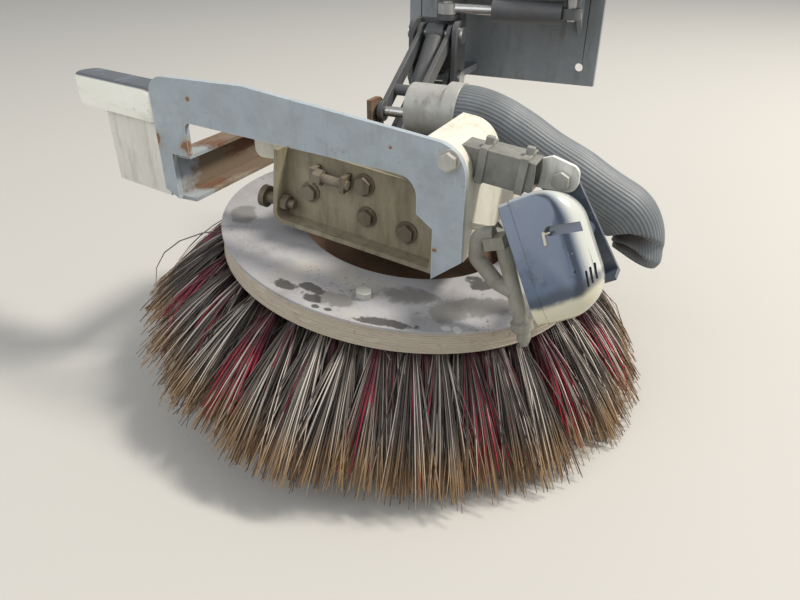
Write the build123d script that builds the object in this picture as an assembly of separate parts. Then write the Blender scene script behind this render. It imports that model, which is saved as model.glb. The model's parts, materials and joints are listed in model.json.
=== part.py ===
from build123d import *
import math
import os

# Side brush unit of a street sweeper, in millimetres.
# X points forward along the vehicle, Y inward to its middle and Z up.
# Places are measured from the road under the middle of the brush,
# and the parts are written with their origin on the chassis bolts.

# Chassis bolts
MOUNT_X = -10.0
MOUNT_Y = 442.0
MOUNT_Z = 440.0
MOUNT_PITCH_X = 300.0
MOUNT_PITCH_Z = 140.0
MOUNT_HOLE_R = 7.5
MOUNT_PLATE_LENGTH = 360.0
MOUNT_PLATE_HEIGHT = 200.0
MOUNT_PLATE_T = 12.0

# Brush
TILT = 7.0
RING_BOTTOM = 177.0
RING_R = 260.0
RING_HOLE_R = 148.0
RING_T = 30.0
COVER_T = 4.0
COVER_LIP = 3.0
CARRIER_DISC_INSET = 45.0
CARRIER_DISC_T = 6.0
HUB_R = 42.0
HUB_HEIGHT = 40.0
SHAFT_R = 12.5
RING_BOLT_INSET = 51.0
RING_BOLT_COUNT = 3
RING_BOLT_HEX_R = 10.5
RING_BOLT_HEIGHT = 9.0
RING_BOLT_ANGLE = -80.0
TUFT_ROOT = 11.0
TUFT_TIP = 15.0
TUFT_SEAT = 4.0
# Each row's root inside the ring's edge, tip beyond it, tip depth and first angle
TUFT_ROWS = [
    (36.0, 40.0, 140.0, 0.0),
    (22.0, 82.0, 136.0, 4.0),
    (10.0, 114.0, 129.0, 2.0),
]
TUFT_COUNTS = [36, 40, 44]
# The packed strands between the tufts: inside and outside of their root and of their tip
SKIRT_ROOT = (40.0, 8.0)
SKIRT_TIP = (34.0, 106.0)
SKIRT_SHORT = 8.0

# Motor and its bracket, measured in the tilted frame of the brush
RUN_GAP = 0.05
BRACKET_LEFT = -145.0
BRACKET_RIGHT = 92.0
BRACKET_FRONT = -130.0
BRACKET_DEPTH = 30.0
BRACKET_FLOOR = 48.0
BRACKET_T = 6.0
BRACKET_WALL_TOP = 150.0
BRACKET_END_TOP = 108.0
BRACKET_CORNER_R = 16.0
MOTOR_SEAT_HALF = 62.0
MOTOR_R = 44.0
MOTOR_HEIGHT = 82.0
MOTOR_FLANGE_T = 12.0
MOTOR_FLANGE_HALF = 50.0
MOTOR_BORE_DEPTH = 40.0
PORT_R = 13.0
PORT_REACH = 12.0
PORT_PITCH = 44.0

# Bolts and the adjuster on the bracket, in the tilted frame of the brush
SHAFT_ROOM = 8.0
# place along the wall, height, radius of the head
WALL_BOLTS = [
    (-102.0, 95.0, 11.0),
    (-24.0, 127.0, 12.0),
    (-16.0, 85.0, 11.0),
    (42.0, 81.0, 12.0),
]
WALL_WASHER_EDGE = 3.0
WALL_WASHER_T = 2.5
WALL_BOLT_HEIGHT = 9.0
SIDE_BOLT_RISE = 20.0
SIDE_BOLT_Y = -117.0
SIDE_WASHER_T = 8.0
SIDE_SPACER = 16.0
SIDE_SPACER_R = 8.0
SIDE_WASHER_R = 15.0
SIDE_NUT_R = 11.0
SIDE_NUT_T = 11.0
SIDE_STUD = 20.0
SIDE_STUD_R = 6.0
FLANGE_HOLE_R = 7.0
FLANGE_HOLE_RISE = 12.0
ADJUSTER_LEFT = -94.0
ADJUSTER_RIGHT = -40.0
ADJUSTER_Z = 126.0
ADJUSTER_STAND = 14.0
ADJUSTER_R = 6.0
ADJUSTER_LUG_T = 6.0

# Guard plate in front
GUARD_FRONT = -150.0
GUARD_T = 8.0
GUARD_LEFT = -302.0
GUARD_RIGHT = 142.0
GUARD_TOP = 423.0
GUARD_BEND_X = -151.0
GUARD_TOP_RIGHT = 385.0
GUARD_LEFT_R = 25.0
GUARD_RIGHT_R = 40.0
GUARD_RIGHT_LOW = 248.0
GUARD_TIP_X = 104.0
GUARD_TIP_Z = 218.0
GUARD_NOTCH_Z = 284.0
WINDOW_RIGHT = 83.0
WINDOW_STEP_Z = 300.0
WINDOW_TOP_RIGHT = 344.0
WINDOW_TOP_LEFT = 367.0
WINDOW_LEFT = -250.0
WINDOW_R = 26.0
WINDOW_LEFT_R = 8.0
LEG_STEP_X = -280.0
LEG_STEP_Z = 321.0
LEG_LOW_LEFT = 268.0
LEG_LOW_RIGHT = 256.0
GUARD_EDGE_GAP = 1.0
GUARD_BOLT_X = 122.0
GUARD_BOLT_Z = 370.0
GUARD_WASHER_R = 13.0
GUARD_WASHER_T = 2.0
GUARD_BOLT_HEX_R = 10.5
GUARD_BOLT_HEIGHT = 10.0

# Brush frame
BEAM_WEB_X = -290.0
BEAM_WIDTH = 33.0
BEAM_LOW = 253.0
BEAM_HEIGHT = 67.0
BEAM_T = 6.0
SIDE_T = 8.0
SIDE_LOW = 245.0
SIDE_STEP_Y = -28.0
SIDE_STEP_Z = 345.0
SIDE_REAR_Z = 290.0
SIDE_SLOPE_END_Y = 8.0
STRIP_LEFT = 92.0
CROSS_FRONT = 80.0
CROSS_DEPTH = 40.0
FRAME_TAIL = 5.0
CROSS_T = 5.0
HANGER_LEFT = -140.0
HANGER_T = 8.0
HANGER_LOW = 262.0
HANGER_TOP = 330.0
HANGER_LUG_LEFT = -178.0
HANGER_LUG_LOW = 318.0
HANGER_LUG_TOP = 356.0
HANGER_LUG_R = 12.0
RIB_T = 6.0
RIB_LEFT = -118.0
RIB_RIGHT = 104.0
RIB_HEIGHT = 42.0

# Board and cap at the rear of the guard plate
BOARD_T = 5.0
BOARD_LOW = 255.0
BOARD_TOP = 356.0
BOARD_LENGTH = 122.0
BOARD_ANGLE = 11.0
CAP_START = 2.0
CAP_LENGTH = 187.0
CAP_DEPTH = 46.0
CAP_LOW = 360.0
CAP_TOP = 405.0
CAP_R = 20.0
CAP_EDGE_R = 7.0
CAP_END_R = 16.0
CAP_PROUD = 8.0
CAP_FOOT_START = 60.0
CAP_FOOT_END = 110.0
CAP_FOOT_T = 5.0
CAP_FOOT_LOW = 320.0

# Lift links between carrier and brush frame
LINK_X = -80.0
LINK_OUTER_Y = 145.0
LINK_INNER_Y = 300.0
LINK_OUTER_Z = 262.0
LINK_INNER_Z = 360.0
LINK_SPREAD = 70.0
LINK_BAR_IN = 22.0
LINK_BAR_T = 8.0
LINK_BAR_HEIGHT = 22.0
LINK_EYE_R = 16.0
CHEEK_IN = 35.0
CHEEK_T = 8.0
CHEEK_REACH = 22.0
PIN_R = 8.0
PIN_HEAD_R = 13.0
PIN_HEAD_T = 6.0
TIE_R = 9.0
TIE_AT = 0.26
LUG_EDGE = 4.0

# Carrier that swings on the kingpin
KING_Y = 365.0
KING_R = 12.5
KING_HEAD_R = 20.0
KING_HEAD_T = 8.0
SLEEVE_R = 26.0
EAR_R = 32.0
EAR_T = 12.0
EAR_LOW = 352.0
TOP_PLATE_LOW = 494.0
SLEEVE_GAP = 5.0
WEB_BACK = 326.0
WEB_T = 8.0
CHEEK_TOP = 452.0
LEVER_T = 8.0
LEVER_R = 18.0

# Hydraulic cylinders
BARREL_R = 17.0
ROD_R = 8.0
CYL_EYE_R = 16.0
CYL_EYE_T = 30.0
ROD_EYE_BORE_R = 11.0
LIFT_BARREL = 128.0
SWING_BARREL = 112.0
SWING_EYE_T = 16.0
SWING_ROD_X = -65.0
SWING_ROD_Y = 307.0
SWING_FOOT_X = 135.0
SWING_FOOT_Y = 330.0
SWING_Z = 469.0
SWING_FOOT_R = 25.0
TOP_PLATE_EDGE = 60.0
GUSSET = 70.0
GUSSET_REACH = 60.0
GUSSET_T = 8.0
GUSSET_RIGHT_EDGE = 36.0
BARREL_END = 6.0
ROD_GAP = 0.5
EYE_BITE = 3.2
LIFT_ROD_SPARE = 42.0
SWING_ROD_SPARE = 26.0

# Lamp and its arm
ARM_Y = -109.0
ARM_SIZE = 34.0
ARM_T = 3.0
ARM_Z = 363.0
ARM_END_X = 212.0
ARM_DROP = 7.0
ARM_ROOT = 45.0
SLEEVE_END_X = 202.0
ARM_SLEEVE_T = 2.0
BAND_STARTS = [5.0, 52.0]
BAND_WIDTH = 9.0
BAND_T = 2.0
BAND_EAR = 8.0
LAMP_PIVOT_X = 235.0
LAMP_PIVOT_Z = 347.0
EAR_PLATE_T = 6.0
# the ear plate's corners, seen from the arm's pivot bolt, in X and Z
EAR_PLATE_OUTLINE = [(-29.0, -13.0), (-29.0, 19.0), (-13.0, 25.0), (19.0, 15.0), (19.0, -14.0)]
EAR_PLATE_R = 12.0
YOKE_T = 5.0
YOKE_WIDTH = 30.0
YOKE_FOOT_X = 302.0
YOKE_FOOT_Z = 238.0
YOKE_LIP = -22.0
YOKE_BOSS_R = 11.0
YOKE_BOSS_SHARE = 0.5
YOKE_BOSS_LENGTH = 80.0
# the lamp's top left corner in front, and its box measured down, right and back from there
LAMP_CORNER = (188.0, -183.0, 342.5)
LAMP_LEAN = 29.0
LAMP_TILT = 20.0
LAMP_HEIGHT = 131.5
LAMP_WIDTH = 77.0
LAMP_THICK = 54.0
LAMP_TOP_R = 40.0
LAMP_LOW_R = 40.0
LAMP_FOOT_R = 22.0
LAMP_EDGE_R = 20.0
LAMP_BACK_R = 12.0
LAMP_WALL = 4.0
BEZEL_DEPTH = 13.0
BEZEL_EDGE = 1.5
BEZEL_RIM = 8.0
LENS_T = 5.0
LENS_SET = 3.0
CLIP_DOWN = 48.0
CLIP_START = 38.0
CLIP_LENGTH = 34.0
CLIP_WIDTH = 10.0
CLIP_DEPTH = 6.0
CLIP_T = 4.0
CLIP_PROUD = 3.0
VENT_DOWN = 88.0
VENT_LENGTH = 18.0
VENT_T = 2.5
VENT_PITCH = 5.5
VENT_COUNT = 3
VENT_EDGE = 3.0
VENT_DEPTH = 16.0

# Spray pipe: how far its plane, parallel to the guard plate, lies inside the ring's near edge
SPRAY_INSET = 88.0
SPRAY_R = 8.5
# the pipe's top, its collar and the tip of its nozzle, in X and Z
SPRAY_TOP = (197.0, 291.0)
SPRAY_COLLAR = (226.0, 203.0)
SPRAY_TIP = (233.0, 172.0)
COLLAR_R = 13.0
COLLAR_LENGTH = 10.0
NOZZLE_R = 8.0
NOZZLE_TIP_R = 4.5
NOZZLE_CONE = 8.0
# the loop of hose beside the pipe, from the elbow back into the pipe
HOSE_POINTS = [(186.0, 304.0), (168.0, 299.0), (167.0, 272.0), (193.0, 246.0), (212.0, 239.0)]
HOSE_R = 9.0
HOSE_BEND_R = 11.0
ELBOW_LEFT = 18.0
ELBOW_RIGHT = 5.0
ELBOW_WIDTH = 20.0
ELBOW_RISE = 14.0
SPRAY_ARM_Y = -118.0
SPRAY_ARM_X = 199.0
SPRAY_ARM_Z = 283.0
SPRAY_ARM_R = 4.0
SPRAY_ARM_BEND = 10.0

# Air duct
DUCT_Y = 50.0
DUCT_R = 37.5
DUCT_WALL = 4.0
DUCT_START = (44.0, 368.0)
DUCT_LEVEL_RUN = 30.0
DUCT_TOP_R = 110.0
DUCT_SLOPE = 27.5
DUCT_BEND_X = 288.0
DUCT_BEND_R = 55.0
DUCT_BEND_TURN = 62.0
DUCT_END_RUN = 10.0
STUB_LENGTH = 56.0
STUB_R = 35.0
STUB_WALL = 5.0
STUB_NECK = 20.0
CLAMP_T = 3.0
CLAMP_WIDTH = 20.0
CLAMP_LUG = 5.0
POST_WIDTH = 26.0
POST_T = 6.0

BRUSH_FRAME = Location((0, 0, RING_BOTTOM), (0, TILT, 0))
parts = {}


def block(x0, x1, y0, y1, z0, z1):
    """A box between two corners."""
    box = Box(x1 - x0, y1 - y0, z1 - z0)
    return Pos((x0 + x1) / 2, (y0 + y1) / 2, (z0 + z1) / 2) * box


def rod(start, end, radius):
    """A round bar from one point to another."""
    way = Vector(*end) - Vector(*start)
    plane = Plane(origin=start, z_dir=way)
    return extrude(plane * Circle(radius), way.length)


def hex_rod(start, end, radius):
    """A hexagonal bar from one point to another."""
    way = Vector(*end) - Vector(*start)
    plane = Plane(origin=start, z_dir=way)
    return extrude(plane * RegularPolygon(radius, 6), way.length)


def tube(start, end, radius, bore):
    return rod(start, end, radius) - rod(start, end, bore)


def on_brush(name, solid):
    """Keep a piece that is made in the tilted frame of the brush."""
    parts[name] = BRUSH_FRAME * solid


def side_profile(points, y0, y1):
    """A plate with an outline in X and Z, from y0 back to y1."""
    plane = Plane(origin=(0, y1, 0), x_dir=(1, 0, 0), z_dir=(0, -1, 0))
    face = plane * make_face(Polyline(*points, close=True))
    return extrude(face, y1 - y0)


def cross_profile(points, x0, x1):
    """A plate with an outline in Y and Z, from x0 to x1."""
    plane = Plane(origin=(x0, 0, 0), x_dir=(0, 1, 0), z_dir=(1, 0, 0))
    face = plane * make_face(Polyline(*points, close=True))
    return extrude(face, x1 - x0)


def upright_edge(solid, x, z, direction=Axis.Y):
    """The edge along an axis that passes nearest to a point in X and Z."""
    edges = solid.edges().filter_by(direction)
    return min(edges, key=lambda e: math.hypot(e.center().X - x, e.center().Z - z))



# Brush: ring with tufts, cover, carrier disc, hub, shaft and bolts
ring = extrude(Circle(RING_R) - Circle(RING_HOLE_R), RING_T)
tufts = []
for (inset, reach, depth, first), count in zip(TUFT_ROWS, TUFT_COUNTS):
    root = Plane(origin=(RING_R - inset, 0, TUFT_SEAT), z_dir=(0, 0, -1))
    tip = Plane(origin=(RING_R + reach, 0, -depth), z_dir=(0, 0, -1))
    sections = [root * Rectangle(TUFT_ROOT, TUFT_ROOT), tip * Rectangle(TUFT_TIP, TUFT_TIP)]
    tuft = loft(sections)
    for i in range(count):
        tufts.append(Rot(0, 0, first + 360.0 * i / count) * tuft)
inner_reach, outer_reach = SKIRT_TIP
inner_inset, outer_inset = SKIRT_ROOT
skirt_outline = [
    (RING_R - inner_inset, TUFT_SEAT),
    (RING_R - outer_inset, TUFT_SEAT),
    (RING_R + outer_reach, SKIRT_SHORT - TUFT_ROWS[-1][2]),
    (RING_R + inner_reach, SKIRT_SHORT - TUFT_ROWS[0][2]),
]
skirt = revolve(Plane.XZ * make_face(Polyline(*skirt_outline, close=True)), Axis.Z)
on_brush("brush_ring_and_bristles", ring.fuse(skirt, *tufts))

cover = extrude(Circle(RING_R + COVER_LIP) - Circle(RING_HOLE_R), COVER_T)
on_brush("brush_cover", Pos(0, 0, RING_T) * cover)

disc_low = -CARRIER_DISC_T
disc = rod((0, 0, disc_low), (0, 0, 0), RING_R - CARRIER_DISC_INSET)
hub = rod((0, 0, 0), (0, 0, HUB_HEIGHT), HUB_R)
shaft_top = BRACKET_FLOOR + BRACKET_T + MOTOR_FLANGE_T
shaft_hole = rod((0, 0, disc_low), (0, 0, HUB_HEIGHT), SHAFT_R)
on_brush("brush_carrier_disc", disc + hub - shaft_hole)
on_brush("motor_shaft", rod((0, 0, disc_low), (0, 0, shaft_top), SHAFT_R))

cover_top = RING_T + COVER_T
bolt_circle = RING_R - RING_BOLT_INSET
bolts = []
for i in range(RING_BOLT_COUNT):
    turn = math.radians(RING_BOLT_ANGLE + 360.0 * i / RING_BOLT_COUNT)
    x = bolt_circle * math.cos(turn)
    y = bolt_circle * math.sin(turn)
    bolts.append(hex_rod((x, y, cover_top), (x, y, cover_top + RING_BOLT_HEIGHT), RING_BOLT_HEX_R))
on_brush("brush_bolts", Compound(children=bolts))

# Motor bracket: a pressed channel that opens to the front, with a seat for the motor
floor_top = BRACKET_FLOOR + BRACKET_T
wall_front = BRACKET_FRONT + BRACKET_DEPTH - BRACKET_T
wall_back = BRACKET_FRONT + BRACKET_DEPTH
bracket = block(BRACKET_LEFT, BRACKET_RIGHT, BRACKET_FRONT, wall_back, BRACKET_FLOOR, BRACKET_WALL_TOP)
hollow = block(
    BRACKET_LEFT + BRACKET_T,
    BRACKET_RIGHT - BRACKET_T,
    BRACKET_FRONT,
    wall_front,
    floor_top,
    BRACKET_WALL_TOP,
)
corners = [
    upright_edge(bracket, BRACKET_LEFT, BRACKET_FLOOR),
]
bracket = fillet(corners, BRACKET_CORNER_R)
corners = [
    upright_edge(hollow, BRACKET_LEFT, floor_top),
]
hollow = fillet(corners, BRACKET_CORNER_R - BRACKET_T)
end_cut = block(
    BRACKET_RIGHT - BRACKET_T,
    BRACKET_RIGHT,
    BRACKET_FRONT,
    wall_front,
    BRACKET_END_TOP,
    BRACKET_WALL_TOP,
)
seat = block(-MOTOR_SEAT_HALF, MOTOR_SEAT_HALF, wall_back, MOTOR_SEAT_HALF, BRACKET_FLOOR, floor_top)
shaft_room = rod((0, 0, BRACKET_FLOOR), (0, 0, floor_top), SHAFT_R + SHAFT_ROOM)
flange_hole = rod(
    (BRACKET_RIGHT - BRACKET_T, SIDE_BOLT_Y, floor_top + FLANGE_HOLE_RISE),
    (BRACKET_RIGHT, SIDE_BOLT_Y, floor_top + FLANGE_HOLE_RISE),
    FLANGE_HOLE_R,
)
on_brush("motor_bracket", bracket - hollow - end_cut + seat - shaft_room - flange_hole)

motor_top = floor_top + MOTOR_HEIGHT
flange = block(
    -MOTOR_FLANGE_HALF,
    MOTOR_FLANGE_HALF,
    -MOTOR_FLANGE_HALF,
    MOTOR_FLANGE_HALF,
    floor_top,
    floor_top + MOTOR_FLANGE_T,
)
motor = flange + rod((0, 0, floor_top), (0, 0, motor_top), MOTOR_R)
for side in (-1, 1):
    x = side * PORT_PITCH / 2
    z = motor_top - PORT_R - PORT_REACH
    motor += rod((x, 0, z), (x, MOTOR_R + PORT_REACH, z), PORT_R)
motor -= rod((0, 0, floor_top), (0, 0, shaft_top + RUN_GAP), SHAFT_R + RUN_GAP)
on_brush("motor", motor)

# Bolts on the wall and the side of the bracket
heads = []
for x, z, radius in WALL_BOLTS:
    washer = rod((x, wall_front, z), (x, wall_front - WALL_WASHER_T, z), radius + WALL_WASHER_EDGE)
    heads.append(washer + hex_rod((x, wall_front, z), (x, wall_front - WALL_BOLT_HEIGHT, z), radius))
on_brush("bracket_bolts", Compound(children=heads))

pivot_z = floor_top + SIDE_BOLT_RISE
inside = BRACKET_LEFT + BRACKET_T
spacer_left = BRACKET_LEFT - SIDE_SPACER
side_bolt = rod((spacer_left, SIDE_BOLT_Y, pivot_z), (BRACKET_LEFT, SIDE_BOLT_Y, pivot_z), SIDE_SPACER_R)
side_bolt += rod(
    (spacer_left - SIDE_WASHER_T, SIDE_BOLT_Y, pivot_z),
    (spacer_left, SIDE_BOLT_Y, pivot_z),
    SIDE_WASHER_R,
)
side_nut = hex_rod((inside, SIDE_BOLT_Y, pivot_z), (inside + SIDE_NUT_T, SIDE_BOLT_Y, pivot_z), SIDE_NUT_R)
side_stud = rod((inside, SIDE_BOLT_Y, pivot_z), (inside + SIDE_STUD, SIDE_BOLT_Y, pivot_z), SIDE_STUD_R)
on_brush("side_bolt", Compound(children=[side_bolt, side_nut + side_stud]))

stud_y = wall_front - ADJUSTER_STAND
adjuster = rod((ADJUSTER_LEFT, stud_y, ADJUSTER_Z), (ADJUSTER_RIGHT, stud_y, ADJUSTER_Z), ADJUSTER_R)
adjuster += hex_rod(
    (ADJUSTER_LEFT + ADJUSTER_R, stud_y, ADJUSTER_Z),
    (ADJUSTER_LEFT + ADJUSTER_R + SIDE_NUT_T, stud_y, ADJUSTER_Z),
    SIDE_NUT_R,
)
lug_half = ADJUSTER_LUG_T / 2
for x in (ADJUSTER_LEFT + ADJUSTER_R - lug_half, ADJUSTER_RIGHT - ADJUSTER_R):
    lug = block(x - lug_half, x + lug_half, stud_y - ADJUSTER_R, wall_front, ADJUSTER_Z - SIDE_NUT_R, ADJUSTER_Z + SIDE_NUT_R)
    adjuster += lug
on_brush("tilt_adjuster", adjuster)

# Guard plate, cut from flat plate
guard_back = GUARD_FRONT + GUARD_T
outline = [
    (GUARD_LEFT, GUARD_TOP),
    (GUARD_BEND_X, GUARD_TOP),
    (GUARD_RIGHT, GUARD_TOP_RIGHT),
    (GUARD_RIGHT, GUARD_RIGHT_LOW),
    (GUARD_TIP_X, GUARD_TIP_Z),
    (GUARD_TIP_X, GUARD_NOTCH_Z),
    (WINDOW_RIGHT, WINDOW_STEP_Z),
    (WINDOW_RIGHT, WINDOW_TOP_RIGHT),
    (WINDOW_LEFT, WINDOW_TOP_LEFT),
    (WINDOW_LEFT, LEG_STEP_Z),
    (LEG_STEP_X, LEG_STEP_Z),
    (LEG_STEP_X, LEG_LOW_RIGHT),
    (GUARD_LEFT, LEG_LOW_LEFT),
]
guard = side_profile(outline, GUARD_FRONT, guard_back)
guard = fillet(upright_edge(guard, GUARD_LEFT, GUARD_TOP), GUARD_LEFT_R)
guard = fillet(upright_edge(guard, GUARD_RIGHT, GUARD_TOP_RIGHT), GUARD_RIGHT_R)
guard = fillet(upright_edge(guard, WINDOW_RIGHT, WINDOW_TOP_RIGHT), WINDOW_R)
guard = fillet(upright_edge(guard, WINDOW_LEFT, WINDOW_TOP_LEFT), WINDOW_LEFT_R)
parts["guard_plate"] = guard
parts["guard_bolt"] = rod((GUARD_BOLT_X, GUARD_FRONT, GUARD_BOLT_Z), (GUARD_BOLT_X, GUARD_FRONT - GUARD_WASHER_T, GUARD_BOLT_Z), GUARD_WASHER_R)
parts["guard_bolt"] += hex_rod(
    (GUARD_BOLT_X, GUARD_FRONT - GUARD_WASHER_T, GUARD_BOLT_Z),
    (GUARD_BOLT_X, GUARD_FRONT - GUARD_BOLT_HEIGHT, GUARD_BOLT_Z),
    GUARD_BOLT_HEX_R,
)

frame_back = CROSS_FRONT + CROSS_DEPTH + FRAME_TAIL

# Side plate and the strip that follows the rounded corner of the guard plate
side_in = GUARD_RIGHT - SIDE_T
side = cross_profile(
    [
        (guard_back, SIDE_LOW),
        (frame_back, SIDE_LOW),
        (frame_back, SIDE_REAR_Z),
        (SIDE_SLOPE_END_Y, SIDE_REAR_Z),
        (SIDE_STEP_Y, SIDE_STEP_Z),
        (guard_back, SIDE_STEP_Z),
    ],
    side_in,
    GUARD_RIGHT,
)
slope = (GUARD_TOP - GUARD_TOP_RIGHT) / (GUARD_RIGHT - GUARD_BEND_X)
strip_left_z = GUARD_TOP_RIGHT + slope * (GUARD_RIGHT - STRIP_LEFT)
strip = side_profile(
    [
        (STRIP_LEFT, strip_left_z),
        (GUARD_RIGHT, GUARD_TOP_RIGHT),
        (GUARD_RIGHT, SIDE_STEP_Z),
        (STRIP_LEFT, SIDE_STEP_Z),
    ],
    guard_back,
    SIDE_STEP_Y,
)
strip = fillet(upright_edge(strip, GUARD_RIGHT, GUARD_TOP_RIGHT), GUARD_RIGHT_R - GUARD_EDGE_GAP)
corner_block = strip
core = side_profile(
    [
        (STRIP_LEFT, strip_left_z - SIDE_T),
        (side_in, GUARD_TOP_RIGHT - SIDE_T),
        (side_in, SIDE_STEP_Z),
        (STRIP_LEFT, SIDE_STEP_Z),
    ],
    guard_back,
    SIDE_STEP_Y,
)
core = fillet(upright_edge(core, side_in, GUARD_TOP_RIGHT - SIDE_T), GUARD_RIGHT_R - GUARD_EDGE_GAP - SIDE_T)
parts["side_plate"] = side + (strip - core)

# Beam of channel section along the left side, open to the middle
beam_top = BEAM_LOW + BEAM_HEIGHT
channel = block(BEAM_WEB_X, BEAM_WEB_X + BEAM_WIDTH, guard_back, frame_back, BEAM_LOW, beam_top)
channel -= block(
    BEAM_WEB_X + BEAM_T,
    BEAM_WEB_X + BEAM_WIDTH,
    guard_back,
    frame_back,
    BEAM_LOW + BEAM_T,
    beam_top - BEAM_T,
)
parts["channel_beam"] = channel

# Cross tube, hanger plate and ribs
cross_low = BEAM_LOW + BEAM_T
cross_top = beam_top - BEAM_T
cross_back = CROSS_FRONT + CROSS_DEPTH
cross_left = BEAM_WEB_X + BEAM_T
cross = block(cross_left, side_in, CROSS_FRONT, cross_back, cross_low, cross_top)
cross -= block(
    cross_left,
    side_in,
    CROSS_FRONT + CROSS_T,
    cross_back - CROSS_T,
    cross_low + CROSS_T,
    cross_top - CROSS_T,
)
parts["cross_tube"] = cross
hanger_front = wall_back
hanger_back = wall_back + HANGER_T
lug_right = HANGER_LEFT + HANGER_LUG_R
hanger_lug = block(HANGER_LUG_LEFT, lug_right, hanger_front, hanger_back, HANGER_LUG_LOW, HANGER_LUG_TOP)
hanger_lug = fillet(hanger_lug.edges().filter_by(Axis.Y).group_by(Axis.X)[0], HANGER_LUG_R)
hanger = block(HANGER_LEFT, side_in, hanger_front, hanger_back, HANGER_LOW, HANGER_TOP)
parts["hanger_plate"] = hanger + hanger_lug
for name, x in (("frame_rib_left", RIB_LEFT), ("frame_rib_right", RIB_RIGHT)):
    parts[name] = block(x, x + RIB_T, hanger_back, CROSS_FRONT, HANGER_LOW, HANGER_LOW + RIB_HEIGHT)

# Board behind the left leg, bent back beyond it, and the cap above
lean = math.radians(BOARD_ANGLE)
along = (-math.cos(lean), math.sin(lean))
board_tab = block(GUARD_LEFT, BEAM_WEB_X, guard_back, guard_back + BOARD_T, LEG_LOW_LEFT, BOARD_TOP)
wing = block(-BOARD_LENGTH, 0, 0, BOARD_T, BOARD_LOW, BOARD_TOP)
wing = Pos(GUARD_LEFT, guard_back, 0) * Rot(0, 0, -BOARD_ANGLE) * wing
parts["rear_board"] = board_tab + wing
cap = block(-CAP_LENGTH, 0, 0, CAP_DEPTH, CAP_LOW, CAP_TOP)
cap = fillet(cap.edges().filter_by(Axis.Z).group_by(Axis.X)[0], CAP_R)
cap = fillet(upright_edge(cap, 0, CAP_TOP), CAP_END_R)
cap = fillet(cap.faces().sort_by(Axis.Z)[-1].edges(), CAP_EDGE_R)
cap_start = (GUARD_LEFT + along[0] * CAP_START, guard_back + along[1] * CAP_START - CAP_PROUD, 0)
parts["rear_cap"] = Pos(*cap_start) * Rot(0, 0, -BOARD_ANGLE) * cap
foot = block(-CAP_FOOT_END, -CAP_FOOT_START, BOARD_T, BOARD_T + CAP_FOOT_T, CAP_FOOT_LOW, CAP_LOW)
parts["cap_bracket"] = Pos(GUARD_LEFT, guard_back, 0) * Rot(0, 0, -BOARD_ANGLE) * foot

# Pivot lugs for the lift links on the back of the cross tube
link_rise = LINK_SPREAD
lug_low = LINK_OUTER_Z - LINK_EYE_R - LUG_EDGE
lug_top = LINK_OUTER_Z + link_rise + LINK_EYE_R + LUG_EDGE
lug_back = LINK_OUTER_Y + LINK_EYE_R + LUG_EDGE
for name, side_sign in (("link_lug_left", -1), ("link_lug_right", 1)):
    near = LINK_X + side_sign * CHEEK_IN
    far = LINK_X + side_sign * (CHEEK_IN + CHEEK_T)
    lug = cross_profile(
        [(cross_back, lug_low), (lug_back, lug_low), (lug_back, lug_top), (cross_back, lug_top)],
        min(near, far),
        max(near, far),
    )
    lug = fillet(lug.edges().filter_by(Axis.X).group_by(Axis.Y)[-1], LINK_EYE_R)
    for z in (LINK_OUTER_Z, LINK_OUTER_Z + link_rise):
        lug -= rod((near, LINK_OUTER_Y, z), (far, LINK_OUTER_Y, z), PIN_R)
    parts[name] = lug


def pivot_pin(y, z):
    """A pin across the two cheeks, with a head at each end."""
    reach = CHEEK_IN + CHEEK_T
    pin = rod((LINK_X - reach, y, z), (LINK_X + reach, y, z), PIN_R)
    for sign in (-1, 1):
        start = (LINK_X + sign * reach, y, z)
        end = (LINK_X + sign * (reach + PIN_HEAD_T), y, z)
        pin += rod(start, end, PIN_HEAD_R)
    return pin


parts["outer_pin_low"] = pivot_pin(LINK_OUTER_Y, LINK_OUTER_Z)
parts["outer_pin_high"] = pivot_pin(LINK_OUTER_Y, LINK_OUTER_Z + link_rise)
parts["inner_pin_low"] = pivot_pin(LINK_INNER_Y, LINK_INNER_Z)
parts["inner_pin_high"] = pivot_pin(LINK_INNER_Y, LINK_INNER_Z + link_rise)

# Lift links: two bars each, with a tie tube where the cylinder leaves room
link_run = LINK_INNER_Y - LINK_OUTER_Y
link_drop = LINK_INNER_Z - LINK_OUTER_Z
link_length = math.hypot(link_run, link_drop)
link_pitch = math.degrees(math.atan2(link_drop, link_run))


def lift_link(rise, tie_share):
    """A link from its inner pivot down to its outer one, rise above the lower link."""
    bars = Part()
    for sign in (-1, 1):
        near = sign * LINK_BAR_IN
        far = sign * (LINK_BAR_IN + LINK_BAR_T)
        bar = block(min(near, far), max(near, far), -link_length, 0, -LINK_BAR_HEIGHT / 2, LINK_BAR_HEIGHT / 2)
        for y in (0, -link_length):
            bar += rod((near, y, 0), (far, y, 0), LINK_EYE_R)
        for y in (0, -link_length):
            bar -= rod((near, y, 0), (far, y, 0), PIN_R + RUN_GAP)
        bars += bar
    tie_y = -link_length * tie_share
    bars += rod((-LINK_BAR_IN, tie_y, 0), (LINK_BAR_IN, tie_y, 0), TIE_R)
    place = Location((LINK_X, LINK_INNER_Y, LINK_INNER_Z + rise), (link_pitch, 0, 0))
    return place * bars


parts["lift_link_low"] = lift_link(0, TIE_AT)
parts["lift_link_high"] = lift_link(link_rise, 1 - TIE_AT)

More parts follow.
